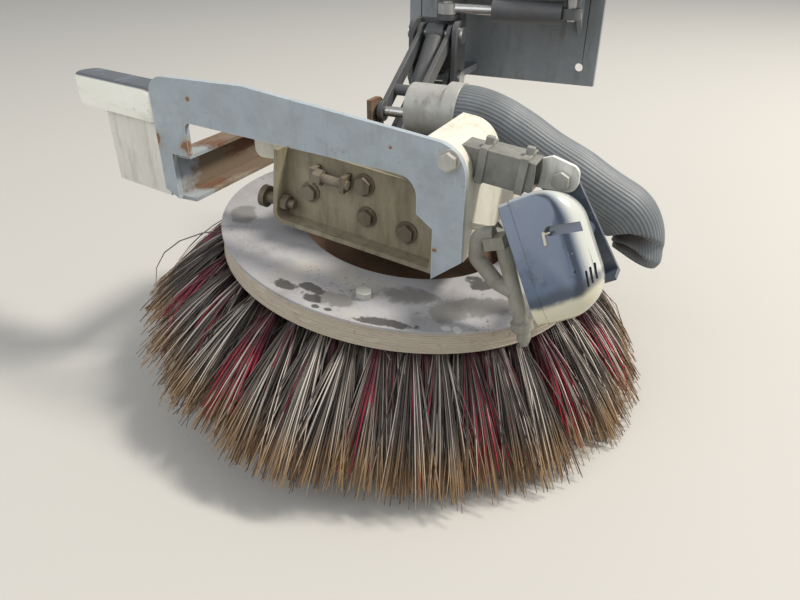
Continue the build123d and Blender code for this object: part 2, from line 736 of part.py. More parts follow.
# Carrier: sleeve on the kingpin, web, cheeks and swing lever
sleeve_low = EAR_LOW + EAR_T + SLEEVE_GAP
sleeve_top = TOP_PLATE_LOW - SLEEVE_GAP
web_front = WEB_BACK - WEB_T
cheek_low = LINK_INNER_Z - LINK_EYE_R - LUG_EDGE
carrier = rod((LINK_X, KING_Y, sleeve_low), (LINK_X, KING_Y, sleeve_top), SLEEVE_R)
cheek_out = CHEEK_IN + CHEEK_T
carrier += block(LINK_X - cheek_out, LINK_X + cheek_out, web_front, WEB_BACK, cheek_low, CHEEK_TOP)
carrier += block(
    LINK_X - WEB_T,
    LINK_X + WEB_T,
    WEB_BACK,
    KING_Y - SLEEVE_R / 2,
    sleeve_low + EAR_T,
    CHEEK_TOP,
)
for sign in (-1, 1):
    near = LINK_X + sign * CHEEK_IN
    far = LINK_X + sign * cheek_out
    cheek = block(min(near, far), max(near, far), LINK_INNER_Y - CHEEK_REACH, web_front, cheek_low, CHEEK_TOP)
    cheek = fillet(cheek.edges().filter_by(Axis.X).group_by(Axis.Y)[0], LINK_EYE_R)
    for z in (LINK_INNER_Z, LINK_INNER_Z + link_rise):
        cheek -= rod((near, LINK_INNER_Y, z), (far, LINK_INNER_Y, z), PIN_R)
    carrier += cheek
carrier -= rod((LINK_X, KING_Y, sleeve_low), (LINK_X, KING_Y, sleeve_top), KING_R + RUN_GAP)
parts["swing_carrier"] = carrier

lever_shape = Pos(SWING_ROD_X, SWING_ROD_Y) * Circle(LEVER_R)
lever_shape += Pos(LINK_X, KING_Y) * Circle(SLEEVE_R)
lever = extrude(make_hull(lever_shape.edges()), LEVER_T)
lever -= Pos(LINK_X, KING_Y) * Cylinder(SLEEVE_R, 3 * LEVER_T)
parts["swing_lever"] = Pos(0, 0, CHEEK_TOP) * lever
parts["swing_lever_pin"] = rod(
    (SWING_ROD_X, SWING_ROD_Y, CHEEK_TOP + LEVER_T),
    (SWING_ROD_X, SWING_ROD_Y, SWING_Z + SWING_EYE_T / 2 + PIN_HEAD_T / 2),
    PIN_R,
)

# Chassis bracket: mount plate, lower ear and top plate
mount_back = MOUNT_Y
mount_front = MOUNT_Y - MOUNT_PLATE_T
mount = block(
    MOUNT_X - MOUNT_PLATE_LENGTH / 2,
    MOUNT_X + MOUNT_PLATE_LENGTH / 2,
    mount_front,
    mount_back,
    MOUNT_Z - MOUNT_PLATE_HEIGHT / 2,
    MOUNT_Z + MOUNT_PLATE_HEIGHT / 2,
)
for x_sign in (-1, 1):
    for z_sign in (-1, 1):
        x = MOUNT_X + x_sign * MOUNT_PITCH_X / 2
        z = MOUNT_Z + z_sign * MOUNT_PITCH_Z / 2
        mount -= rod((x, mount_front, z), (x, mount_back, z), MOUNT_HOLE_R)
parts["mount_plate"] = mount
king_hole = Pos(LINK_X, KING_Y) * Circle(KING_R)
ear = Pos(LINK_X, KING_Y) * Circle(EAR_R)
ear += Pos(LINK_X, (KING_Y + mount_front) / 2) * Rectangle(2 * EAR_R, mount_front - KING_Y)
parts["kingpin_ear"] = Pos(0, 0, EAR_LOW) * extrude(ear - king_hole, EAR_T)
top_shape = Pos(LINK_X, KING_Y) * Circle(EAR_R)
top_shape += Pos(SWING_FOOT_X, SWING_FOOT_Y) * Circle(SWING_FOOT_R)
top_left = LINK_X - TOP_PLATE_EDGE
top_right = SWING_FOOT_X + SWING_FOOT_R
top_base = Pos((top_left + top_right) / 2, mount_front - EAR_T / 2) * Rectangle(top_right - top_left, EAR_T)
top_shape = make_hull((top_shape + top_base).edges())
foot_hole = Pos(SWING_FOOT_X, SWING_FOOT_Y) * Circle(PIN_R)
top_plate = extrude(top_shape - king_hole - foot_hole, EAR_T)
parts["top_plate"] = Pos(0, 0, TOP_PLATE_LOW) * top_plate
gusset_right_x = MOUNT_X + MOUNT_PLATE_LENGTH / 2 - GUSSET_RIGHT_EDGE
for name, x in (("gusset_left", LINK_X - EAR_R), ("gusset_right", gusset_right_x)):
    gusset = cross_profile(
        [
            (mount_front, TOP_PLATE_LOW),
            (mount_front, TOP_PLATE_LOW - GUSSET),
            (mount_front - GUSSET_REACH, TOP_PLATE_LOW),
        ],
        x - GUSSET_T / 2,
        x + GUSSET_T / 2,
    )
    parts[name] = gusset
king_low = EAR_LOW - KING_HEAD_T
king_top = TOP_PLATE_LOW + EAR_T + KING_HEAD_T
kingpin = rod((LINK_X, KING_Y, king_low), (LINK_X, KING_Y, king_top), KING_R)
kingpin += rod((LINK_X, KING_Y, king_low), (LINK_X, KING_Y, EAR_LOW), KING_HEAD_R)
kingpin += rod((LINK_X, KING_Y, TOP_PLATE_LOW + EAR_T), (LINK_X, KING_Y, king_top), KING_HEAD_R)
parts["kingpin"] = kingpin
foot_pin_low = SWING_Z - SWING_EYE_T / 2 - PIN_HEAD_T / 2
foot_pin = rod((SWING_FOOT_X, SWING_FOOT_Y, foot_pin_low), (SWING_FOOT_X, SWING_FOOT_Y, TOP_PLATE_LOW + EAR_T), PIN_R)
parts["swing_foot_pin"] = foot_pin


def cylinder(foot, eye, barrel_length, spare, eye_t, across):
    """A hydraulic cylinder: a barrel pivoted at its foot, and a rod with an eye."""
    way = (Vector(*eye) - Vector(*foot)).normalized()
    foot_point = Vector(*foot)
    eye_point = Vector(*eye)
    half = Vector(*across) * (eye_t / 2)
    barrel_start = foot_point + way * (CYL_EYE_R - EYE_BITE)
    barrel_end = barrel_start + way * barrel_length
    barrel = rod(tuple(barrel_start), tuple(barrel_end), BARREL_R)
    barrel += rod(tuple(foot_point - half), tuple(foot_point + half), CYL_EYE_R)
    barrel -= rod(tuple(foot_point - half), tuple(foot_point + half), PIN_R + RUN_GAP)
    rod_start = foot_point + way * (CYL_EYE_R + BARREL_END)
    barrel -= rod(tuple(rod_start), tuple(barrel_end), ROD_R + ROD_GAP)
    piston_rod = rod(tuple(rod_start + way * spare), tuple(eye_point), ROD_R)
    piston_rod += rod(tuple(eye_point - half), tuple(eye_point + half), CYL_EYE_R)
    piston_rod -= rod(tuple(eye_point - half), tuple(eye_point + half), ROD_EYE_BORE_R)
    return barrel, piston_rod


lift_foot = (LINK_X, LINK_INNER_Y, LINK_INNER_Z + link_rise)
lift_eye = (LINK_X, LINK_OUTER_Y, LINK_OUTER_Z)
barrel, piston_rod = cylinder(lift_foot, lift_eye, LIFT_BARREL, LIFT_ROD_SPARE, CYL_EYE_T, (1, 0, 0))
parts["lift_cylinder"] = barrel
parts["lift_rod"] = piston_rod
swing_foot = (SWING_FOOT_X, SWING_FOOT_Y, SWING_Z)
swing_eye = (SWING_ROD_X, SWING_ROD_Y, SWING_Z)
barrel, piston_rod = cylinder(swing_foot, swing_eye, SWING_BARREL, SWING_ROD_SPARE, SWING_EYE_T, (0, 0, 1))
parts["swing_cylinder"] = barrel
parts["swing_rod"] = piston_rod

# Lamp arm with its sleeve and bands
arm_length = (ARM_END_X - GUARD_RIGHT) / math.cos(math.radians(ARM_DROP))
arm_place = Location((GUARD_RIGHT, ARM_Y, ARM_Z), (0, ARM_DROP, 0))
arm_bore = ARM_SIZE / 2 - ARM_T


def square_tube(x0, x1, half, bore):
    """A square tube along the lamp arm."""
    outside = block(x0, x1, -half, half, -half, half)
    return outside - block(x0, x1, -bore, bore, -bore, bore)


arm = arm_place * square_tube(-ARM_ROOT, arm_length, ARM_SIZE / 2, arm_bore)
keep = block(STRIP_LEFT, ARM_END_X, ARM_Y - ARM_SIZE, ARM_Y + ARM_SIZE, 0, GUARD_TOP)
parts["lamp_arm"] = (arm & keep) - corner_block
sleeve_half = ARM_SIZE / 2 + ARM_SLEEVE_T
sleeve_length = SLEEVE_END_X - GUARD_RIGHT
parts["arm_sleeve"] = arm_place * square_tube(BAND_STARTS[0], sleeve_length, sleeve_half, ARM_SIZE / 2)
bands = []
for start in BAND_STARTS:
    band_half = sleeve_half + BAND_T
    band = square_tube(start, start + BAND_WIDTH, band_half, sleeve_half)
    band += block(start, start + BAND_WIDTH, -BAND_EAR / 2, BAND_EAR / 2, band_half, band_half + BAND_EAR)
    bands.append(arm_place * band)
parts["sleeve_clamps"] = Compound(children=bands)

# Lamp, built upright at its top left corner, then leant and tipped: -Z runs down the lens
lamp_place = Location(LAMP_CORNER, (-LAMP_TILT, -LAMP_LEAN, 0))
housing = block(BEZEL_DEPTH, LAMP_WIDTH, 0, LAMP_THICK, -LAMP_HEIGHT, 0)
housing = fillet(upright_edge(housing, LAMP_WIDTH, 0), LAMP_TOP_R)
housing = fillet(upright_edge(housing, LAMP_WIDTH, -LAMP_HEIGHT), LAMP_LOW_R)
housing = fillet(upright_edge(housing, BEZEL_DEPTH, -LAMP_HEIGHT), LAMP_FOOT_R)
front_face, back_face = housing.faces().sort_by(Axis.Y)[0], housing.faces().sort_by(Axis.Y)[-1]
for face, radius in ((front_face, LAMP_EDGE_R), (back_face, LAMP_BACK_R)):
    rounded = [edge for edge in face.edges() if edge.center().X > BEZEL_DEPTH + RUN_GAP]
    housing = fillet(rounded, radius)
clip_end = CLIP_START + CLIP_LENGTH
clip_top = CLIP_WIDTH / 2 - CLIP_DOWN
clip_low = -CLIP_WIDTH / 2 - CLIP_DOWN
clip_room = block(CLIP_START, clip_end, 0, CLIP_DEPTH, clip_low, clip_top)
housing -= fillet(clip_room.edges().filter_by(Axis.Y), CLIP_WIDTH / 3)
for i in range(VENT_COUNT):
    vent_x = LAMP_WIDTH - VENT_EDGE - i * VENT_PITCH
    vent_y = VENT_DEPTH - i * VENT_EDGE
    vent_low = -VENT_DOWN - VENT_LENGTH
    housing -= block(vent_x - VENT_T, vent_x, 0, vent_y, vent_low, -VENT_DOWN)
housing = lamp_place * housing
parts["lamp_housing"] = housing
hook_start = CLIP_START + CLIP_T - CLIP_PROUD
hook_end = CLIP_START + CLIP_T
clip = block(CLIP_START - CLIP_T, hook_end, -CLIP_PROUD, 0, clip_low - CLIP_T, clip_top)
clip += block(hook_start, hook_end, 0, CLIP_DEPTH, -CLIP_DOWN - CLIP_T / 2, -CLIP_DOWN + CLIP_T / 2)
parts["lamp_clip"] = lamp_place * clip
bezel_low = -LAMP_HEIGHT + LAMP_FOOT_R
bezel_back = LAMP_THICK - BEZEL_EDGE
bezel = block(0, BEZEL_DEPTH, BEZEL_EDGE, bezel_back, bezel_low, -BEZEL_EDGE)
bezel -= block(0, LENS_SET + LENS_T, BEZEL_RIM, LAMP_THICK - BEZEL_RIM, bezel_low + BEZEL_RIM, -BEZEL_RIM)
parts["lamp_bezel"] = lamp_place * bezel
lens = block(LENS_SET, LENS_SET + LENS_T, BEZEL_RIM, LAMP_THICK - BEZEL_RIM, bezel_low + BEZEL_RIM, -BEZEL_RIM)
parts["lamp_lens"] = lamp_place * lens

# Ear plate on the arm's inner side, and the lamp's yoke
ear_outline = [(LAMP_PIVOT_X + x, LAMP_PIVOT_Z + z) for x, z in EAR_PLATE_OUTLINE]
ear_y = ARM_Y + ARM_SIZE / 2
ear_plate = side_profile(ear_outline, ear_y, ear_y + EAR_PLATE_T)
ear_corners = ear_plate.edges().filter_by(Axis.Y).group_by(Axis.X)[-1]
parts["lamp_ear"] = fillet(ear_corners, EAR_PLATE_R)
yoke_y = ear_y + EAR_PLATE_T
yoke_way = math.degrees(math.atan2(LAMP_PIVOT_Z - YOKE_FOOT_Z, YOKE_FOOT_X - LAMP_PIVOT_X))
yoke_length = math.hypot(YOKE_FOOT_X - LAMP_PIVOT_X, LAMP_PIVOT_Z - YOKE_FOOT_Z)
yoke = block(0, yoke_length, 0, YOKE_T, -YOKE_WIDTH / 2, YOKE_WIDTH / 2)
yoke += rod((0, 0, 0), (0, YOKE_T, 0), YOKE_WIDTH / 2)
yoke_foot = block(yoke_length - YOKE_T, yoke_length, YOKE_LIP, 0, -YOKE_WIDTH / 2, YOKE_WIDTH / 2)
boss_at = yoke_length * YOKE_BOSS_SHARE
yoke_foot += rod((boss_at, -YOKE_BOSS_LENGTH, 0), (boss_at, 0, 0), YOKE_BOSS_R)
yoke = Location((LAMP_PIVOT_X, yoke_y, LAMP_PIVOT_Z), (0, yoke_way, 0)) * (yoke + yoke_foot)
parts["lamp_yoke"] = yoke - housing
parts["lamp_bolt"] = hex_rod(
    (LAMP_PIVOT_X, ear_y, LAMP_PIVOT_Z),
    (LAMP_PIVOT_X, ear_y - WALL_BOLT_HEIGHT, LAMP_PIVOT_Z),
    SIDE_NUT_R,
)

# Spray pipe with its collar and nozzle, the hose beside it and the bracket that holds them
spray_y = SPRAY_INSET - RING_R
top_x, top_z = SPRAY_TOP
collar_x, collar_z = SPRAY_COLLAR
tip_x, tip_z = SPRAY_TIP
pipe = rod((top_x, spray_y, top_z), (collar_x, spray_y, collar_z), SPRAY_R)
spray_way = (Vector(collar_x, 0, collar_z) - Vector(top_x, 0, top_z)).normalized()
collar_point = Vector(collar_x, spray_y, collar_z)
collar_end = collar_point + spray_way * COLLAR_LENGTH
collar = rod(tuple(collar_point), tuple(collar_end), COLLAR_R)
tip_point = Vector(tip_x, spray_y, tip_z)
nozzle = rod(tuple(collar_end), tuple(tip_point), NOZZLE_R)
nozzle_end = nozzle.faces().sort_by(Axis.Z)[0].edges()
nozzle = chamfer(nozzle_end, NOZZLE_CONE, NOZZLE_R - NOZZLE_TIP_R)
pipe_lean = math.degrees(math.atan2(collar_x - top_x, top_z - collar_z))
elbow = block(-ELBOW_LEFT, ELBOW_RIGHT, -ELBOW_WIDTH / 2, ELBOW_WIDTH / 2, 0, ELBOW_RISE)
elbow = Location((top_x, spray_y, top_z), (0, -pipe_lean, 0)) * elbow
spray_pipe = pipe + collar + nozzle + elbow
parts["spray_pipe"] = spray_pipe
hose_plane = Plane(origin=(0, spray_y, 0), x_dir=(1, 0, 0), z_dir=(0, -1, 0))
hose_path = hose_plane * FilletPolyline(*HOSE_POINTS, radius=HOSE_BEND_R)
hose = sweep(Plane(origin=hose_path @ 0, z_dir=hose_path % 0) * Circle(HOSE_R), path=hose_path)
parts["spray_hose"] = hose - spray_pipe
holder_points = [
    (GUARD_RIGHT, SPRAY_ARM_Y, SPRAY_ARM_Z),
    (SPRAY_ARM_X, SPRAY_ARM_Y, SPRAY_ARM_Z),
    (SPRAY_ARM_X, spray_y, SPRAY_ARM_Z),
]
holder_path = FilletPolyline(*holder_points, radius=SPRAY_ARM_BEND)
holder = sweep(Plane(origin=holder_path @ 0, z_dir=holder_path % 0) * Circle(SPRAY_ARM_R), path=holder_path)
parts["spray_bracket"] = holder - spray_pipe - hose

# Air duct with its clamp and post
start_x, start_z = DUCT_START
duct_plane = Plane(origin=(0, DUCT_Y, 0), x_dir=(1, 0, 0), z_dir=(0, -1, 0))
level = Line((start_x, start_z), (start_x + DUCT_LEVEL_RUN, start_z))
top_bend = JernArc(level @ 1, level % 1, DUCT_TOP_R, -DUCT_SLOPE)
run = (DUCT_BEND_X - (top_bend @ 1).X) / (top_bend % 1).X
slope_line = Line(top_bend @ 1, (top_bend @ 1) + (top_bend % 1) * run)
low_bend = JernArc(slope_line @ 1, slope_line % 1, DUCT_BEND_R, -DUCT_BEND_TURN)
tail = Line(low_bend @ 1, (low_bend @ 1) + (low_bend % 1) * DUCT_END_RUN)
path = duct_plane * (level + top_bend + slope_line + low_bend + tail)
section_plane = Plane(origin=path @ 0, z_dir=path % 0)
duct = sweep(section_plane * (Circle(DUCT_R) - Circle(DUCT_R - DUCT_WALL)), path=path)
parts["air_duct"] = duct


def on_duct(distance):
    """A place on the level start of the duct's middle line."""
    return (start_x + distance, DUCT_Y, start_z)


stub = rod(on_duct(-STUB_LENGTH), on_duct(0), STUB_R)
stub += rod(on_duct(0), on_duct(STUB_NECK), DUCT_R - DUCT_WALL)
parts["duct_stub"] = stub - rod(on_duct(-STUB_LENGTH), on_duct(STUB_NECK), STUB_R - STUB_WALL)
clamp = tube(on_duct(0), on_duct(CLAMP_WIDTH), DUCT_R + CLAMP_T, DUCT_R)
clamp_x, clamp_y, clamp_z = on_duct(CLAMP_WIDTH / 2)
post_front = clamp_y + DUCT_R + CLAMP_T + CLAMP_LUG
lug = block(
    clamp_x - CLAMP_LUG,
    clamp_x + CLAMP_LUG,
    clamp_y + DUCT_R + CLAMP_T / 2,
    post_front,
    clamp_z - 2 * CLAMP_LUG,
    clamp_z + 2 * CLAMP_LUG,
)
parts["duct_clamp"] = clamp + lug
post_half = POST_WIDTH / 2
parts["duct_post"] = block(
    clamp_x - post_half,
    clamp_x + post_half,
    post_front,
    post_front + POST_T,
    cross_top,
    clamp_z + 3 * CLAMP_LUG,
)

os.makedirs("parts", exist_ok=True)
for name, solid in parts.items():
    export_step(Pos(-MOUNT_X, -MOUNT_Y, -MOUNT_Z) * solid, f"parts/{name}.step")
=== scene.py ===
import json
import math

import bmesh
import bpy
import numpy as np
from mathutils import Matrix, Vector


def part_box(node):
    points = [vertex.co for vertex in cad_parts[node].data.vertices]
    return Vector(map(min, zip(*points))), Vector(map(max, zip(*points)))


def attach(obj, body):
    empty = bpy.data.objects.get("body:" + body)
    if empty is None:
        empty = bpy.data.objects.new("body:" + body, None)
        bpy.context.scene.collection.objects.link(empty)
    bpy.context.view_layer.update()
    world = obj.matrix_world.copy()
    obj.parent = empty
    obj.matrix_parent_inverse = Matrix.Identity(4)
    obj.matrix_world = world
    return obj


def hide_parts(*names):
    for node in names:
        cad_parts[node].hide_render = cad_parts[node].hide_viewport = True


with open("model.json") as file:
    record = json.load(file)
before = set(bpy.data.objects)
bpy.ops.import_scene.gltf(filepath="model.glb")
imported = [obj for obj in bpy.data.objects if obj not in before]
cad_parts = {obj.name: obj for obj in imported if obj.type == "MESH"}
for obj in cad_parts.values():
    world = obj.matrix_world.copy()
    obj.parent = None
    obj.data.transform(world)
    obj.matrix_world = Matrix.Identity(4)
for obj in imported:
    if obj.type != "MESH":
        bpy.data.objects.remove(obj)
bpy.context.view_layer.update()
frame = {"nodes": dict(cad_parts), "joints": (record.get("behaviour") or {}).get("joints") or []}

# The brush's axis gives the place of the road under it. Sizes are in millimetres unless said otherwise.
MM = 0.001
RING_BOTTOM = 177.0
spin_joint = next(joint for joint in frame["joints"] if joint["name"] == "brush_spin")
BRUSH_CENTRE = Vector(spin_joint["pos_m"])
BRUSH_AXIS = Vector(spin_joint["axis"]).normalized()
ROAD = BRUSH_CENTRE - Vector((0, 0, RING_BOTTOM * MM))


def site(x, y, z):
    """A place in millimetres from the road under the brush, in the shared frame."""
    return ROAD + Vector((x, y, z)) * MM


def new_object(name, data):
    made = bpy.data.objects.new(name, data)
    bpy.context.collection.objects.link(made)
    return made


# The tilted frame of the brush, as a matrix from millimetres to the shared frame
ACROSS = Vector((0, 1, 0))
brush_turn = Matrix((ACROSS.cross(BRUSH_AXIS).normalized(), ACROSS, BRUSH_AXIS)).transposed().to_4x4()
BRUSH_PLACE = Matrix.Translation(BRUSH_CENTRE) @ brush_turn @ Matrix.Scale(MM, 4)

# Camera at the photograph's angle: its place, and its yaw, pitch and roll in degrees
CAMERA_AT = (368, -803, 600)
CAMERA_TURN = (25.03, 30.36, 0.3)
CAMERA_LENS = 29.4
CAMERA_SENSOR = 36
CAMERA_NEAR = 10


def make_camera():
    yaw, pitch, roll = (math.radians(angle) for angle in CAMERA_TURN)
    look = Vector((-math.sin(yaw) * math.cos(pitch), math.cos(yaw) * math.cos(pitch), -math.sin(pitch)))
    right = Vector((math.cos(yaw), math.sin(yaw), 0))
    up = right.cross(look)
    tilted_right = right * math.cos(roll) + up * math.sin(roll)
    tilted_up = up * math.cos(roll) - right * math.sin(roll)
    data = bpy.data.cameras.new("camera")
    data.lens = CAMERA_LENS
    data.sensor_width = CAMERA_SENSOR
    data.clip_start = CAMERA_NEAR * MM
    camera = new_object("camera", data)
    axes = Matrix((tilted_right, tilted_up, -look)).transposed().to_4x4()
    camera.matrix_world = Matrix.Translation(site(*CAMERA_AT)) @ axes
    bpy.context.scene.camera = camera


# Lights: name, place, aim, size in metres, power and colour
LIGHTS = [
    ("sun", (3300, 1900, 5000), (0, 0, 250), 1.2, 470, (1.0, 0.94, 0.85)),
    ("fill", (-1400, -3800, 3000), (0, 0, 250), 4.0, 84, (0.97, 0.98, 1.0)),
]
SKY_COLOUR = (0.95, 0.975, 1.0, 1)
SKY_STRENGTH = 0.58
# Half the floor's width, in metres
FLOOR_HALF = 30.0
FLOOR_COLOUR = (182, 180, 175)
FLOOR_ROUGHNESS = 0.85


def area_light(name, place, aim, size, power, colour):
    data = bpy.data.lights.new(name, "AREA")
    data.shape = "SQUARE"
    data.size = size
    data.energy = power
    data.color = colour
    start = site(*place)
    turn = (site(*aim) - start).to_track_quat("-Z", "Y").to_matrix().to_4x4()
    new_object(name, data).matrix_world = Matrix.Translation(start) @ turn


def make_world():
    """An even, pale sky."""
    world = bpy.data.worlds.new("studio")
    bpy.context.scene.world = world
    world.use_nodes = True
    sky = world.node_tree.nodes["Background"]
    sky.inputs["Color"].default_value = SKY_COLOUR
    sky.inputs["Strength"].default_value = SKY_STRENGTH


def make_floor():
    """The plain floor that the brush stands on."""
    mesh = bpy.data.meshes.new("floor")
    corners = [ROAD + FLOOR_HALF * Vector((x, y, 0)) for x, y in ((-1, -1), (1, -1), (1, 1), (-1, 1))]
    mesh.from_pydata(corners, [], [(0, 1, 2, 3)])
    mesh.materials.append(Paint("floor_pale", FLOOR_COLOUR, FLOOR_ROUGHNESS).done())
    new_object("floor", mesh)


# Sockets of the Mix node for colours and for numbers: below, above and result
MIX_SOCKETS = {"RGBA": (6, 7, 2), "FLOAT": (2, 3, 0)}


def srgb(*seen):
    """A colour as it is seen, 0 to 255, as the linear values that nodes use."""
    parts = [value / 255 for value in seen]
    return (*(part / 12.92 if part <= 0.04045 else ((part + 0.055) / 1.055) ** 2.4 for part in parts), 1.0)


class Paint:
    """A material built up in layers of colour, roughness and relief.

    A noise is given as scale, detail and roughness, a stretch along each axis, and a shift to another
    pattern. A band is the pair of values between which a mask goes from 0 to 1.
    """

    def __init__(self, name, colour, roughness, metallic=0.0):
        self.material = bpy.data.materials.new(name)
        self.material.use_nodes = True
        self.tree = self.material.node_tree
        self.shader = self.tree.nodes["Principled BSDF"]
        self.shader.inputs["Metallic"].default_value = metallic
        self.coordinates = self.add("ShaderNodeTexCoord").outputs["Object"]
        self.colour = srgb(*colour)
        self.roughness = roughness
        self.relief = None

    def feed(self, socket, value):
        """Links a socket to a result, or sets it to a constant."""
        if isinstance(value, bpy.types.NodeSocket):
            self.tree.links.new(value, socket)
        else:
            socket.default_value = value

    def add(self, kind, inputs=None, **settings):
        """A new node with its inputs and settings."""
        made = self.tree.nodes.new(kind)
        for key, value in settings.items():
            setattr(made, key, value)
        for key, value in (inputs or {}).items():
            self.feed(made.inputs[key], value)
        return made

    def math(self, operation, *values, clamp=True):
        made = self.add("ShaderNodeMath", dict(enumerate(values)), operation=operation, use_clamp=clamp)
        return made.outputs[0]

    def both(self, first, second):
        return self.math("MULTIPLY", first, second)

    def either(self, first, second):
        return self.math("MAXIMUM", first, second)

    def vector(self, operation, first, second, result="Vector"):
        return self.add("ShaderNodeVectorMath", {0: first, 1: second}, operation=operation).outputs[result]

    def attribute(self, name):
        return self.add("ShaderNodeAttribute", attribute_name=name).outputs["Fac"]

    def noise(self, scale, detail, rough, stretch=None, shift=0.0):
        place = self.coordinates
        if stretch:
            place = self.add("ShaderNodeMapping", {"Vector": place, "Scale": stretch}).outputs[0]
        inputs = {"Vector": place, "Scale": scale, "Detail": detail, "Roughness": rough, "W": shift}
        return self.add("ShaderNodeTexNoise", inputs, noise_dimensions="4D").outputs["Fac"]

    def band(self, value, low, high):
        """0 below low, 1 above high, smooth between. Low may be above high."""
        inputs = {"Value": value, "From Min": low, "From Max": high}
        made = self.add("ShaderNodeMapRange", inputs, interpolation_type="SMOOTHSTEP", clamp=True)
        return made.outputs["Result"]

    def mask(self, band, noise, stretch=None, shift=0.0):
        """1 in the patches where a noise passes a band."""
        return self.band(self.noise(*noise, stretch, shift), *band)

    def mix(self, kind, factor, below, above):
        first, second, result = MIX_SOCKETS[kind]
        inputs = {"Factor": factor, first: below, second: above}
        return self.add("ShaderNodeMix", inputs, data_type=kind, clamp_factor=True).outputs[result]

    def layer(self, colour, mask, strength=1.0):
        """Lays a colour over the others, where the mask is 1."""
        factor = mask if strength == 1.0 else self.both(mask, strength)
        self.colour = self.mix("RGBA", factor, self.colour, srgb(*colour))
        return factor

    def patches(self, colour, strength, band, noise, stretch=None, shift=0.0):
        """Lays a colour over the patches where a noise passes a band."""
        return self.layer(colour, self.mask(band, noise, stretch, shift), strength)

    def wear(self, colour, radius, band, scale):
        """Lays a colour over sharp edges, broken up by noise."""
        self.layer(colour, self.both(self.edges(radius), self.mask(band, (scale, 4, 0.7), shift=3)), 0.8)

    def roughen(self, mask, roughness):
        """Sets the roughness where the mask is 1."""
        self.roughness = self.mix("FLOAT", mask, self.roughness, roughness)

    def bump(self, distance, strength, noise, stretch=None, shift=0.0):
        """Adds a relief of noise, with its height in metres."""
        inputs = {"Height": self.noise(*noise, stretch, shift), "Distance": distance, "Strength": strength}
        if self.relief is not None:
            inputs["Normal"] = self.relief
        self.relief = self.add("ShaderNodeBump", inputs).outputs["Normal"]

    def along(self, direction, origin):
        """The distance from a point along a direction, in metres."""
        moved = self.vector("SUBTRACT", self.coordinates, origin)
        return self.vector("DOT_PRODUCT", moved, direction, "Value")

    def beyond(self, direction, origin, low, high, ragged):
        """1 past a distance along a direction, with a ragged edge, in metres."""
        noise = self.noise(45, 4, 0.7, shift=31)
        shaken = self.math("MULTIPLY_ADD", noise, ragged, self.along(direction, origin), clamp=False)
        return self.band(shaken, low + ragged / 2, high + ragged / 2)

    def facing(self, direction, low, high):
        """1 where the surface looks along a direction."""
        normal = self.add("ShaderNodeNewGeometry").outputs["Normal"]
        return self.band(self.vector("DOT_PRODUCT", normal, direction, "Value"), low, high)

    def near(self, places, shake=0.6, scale=90):
        """1 close to the places, each a point and a radius, with ragged edges."""
        found = None
        noise = self.noise(scale, 4, 0.7, shift=17)
        ragged = self.math("MULTIPLY_ADD", noise, 2 * shake, -shake, clamp=False)
        for point, radius in places:
            away = self.vector("DISTANCE", self.coordinates, point, "Value")
            share = self.math("MULTIPLY_ADD", away, 1 / (radius * MM), ragged, clamp=False)
            place = self.band(share, 1.1, 0.7)
            found = place if found is None else self.either(found, place)
        return found

    def edges(self, radius):
        """1 at sharp edges of the piece."""
        rounded = self.add("ShaderNodeBevel", {"Radius": radius}, samples=6).outputs[0]
        flat = self.add("ShaderNodeNewGeometry").outputs["Normal"]
        bend = self.math("SUBTRACT", 1.0, self.vector("DOT_PRODUCT", rounded, flat, "Value"))
        return self.band(bend, 0.01, 0.12)

    def done(self):
        """The material, with its layers joined to the shader."""
        self.feed(self.shader.inputs["Base Color"], self.colour)
        self.feed(self.shader.inputs["Roughness"], self.roughness)
        if self.relief is not None:
            self.feed(self.shader.inputs["Normal"], self.relief)
        return self.material


def weathered(name, paint, pale, dirt, rust, roughness, dirt_share, rust_share, edge=0.0012, metallic=0.0):
    """Old paint: mottled, with streaks of dirt, speckles of rust and worn edges."""
    made = Paint(name, paint, roughness, metallic)
    made.patches(pale, 0.55, (0.42, 0.66), (9, 5, 0.65))
    made.patches(pale, 0.35, (0.5, 0.72), (60, 3, 0.7), shift=2)
    dirty = made.patches(dirt, 0.75, (0.62 - dirt_share * 0.3, 0.8), (14, 5, 0.7), (4, 4, 0.7), 5)
    made.patches(dirt, 0.3, (0.6, 0.75), (150, 2, 0.6), shift=9)
    spots = (0.74 - rust_share * 0.16, 0.8 - rust_share * 0.12)
    rusty = made.patches(rust, 1.0, spots, (46, 6, 0.75), shift=12)
    made.wear(pale, edge, (0.42, 0.58), 70)
    made.roughen(dirty, 0.85)
    made.roughen(rusty, 0.95)
    made.bump(0.0003, 0.25, (420, 3, 0.6))
    made.bump(0.0008, 0.2, (46, 6, 0.75), shift=12)
    return made.done()


# Rounded edges: the least angle, then the width and steps on the solids
EDGE_ANGLE = math.radians(32)
EDGE_ROUND = 0.9
EDGE_STEPS = 2
SEAM_GAP = 0.02


def close_seams(piece):
    """Joins points in one place, so that edges can be rounded."""
    weld = piece.modifiers.new("weld", "WELD")
    weld.merge_threshold = SEAM_GAP * MM


def round_edges(piece, width, steps):
    bevel = piece.modifiers.new("bevel", "BEVEL")
    bevel.width = width * MM
    bevel.segments = steps
    bevel.limit_method = "ANGLE"
    bevel.angle_limit = EDGE_ANGLE
    bevel.harden_normals = True


def dress(material, names):
    """Gives CAD nodes, named with spaces between, a material and small rounded edges."""
    for name in names.split():
        node = frame["nodes"][name]
        mesh = node.data
        mesh.materials.clear()
        mesh.materials.append(material)
        if "custom_normal" in mesh.attributes:
            mesh.attributes.remove(mesh.attributes["custom_normal"])
        mesh.shade_smooth()
        close_seams(node)
        round_edges(node, EDGE_ROUND, EDGE_STEPS)


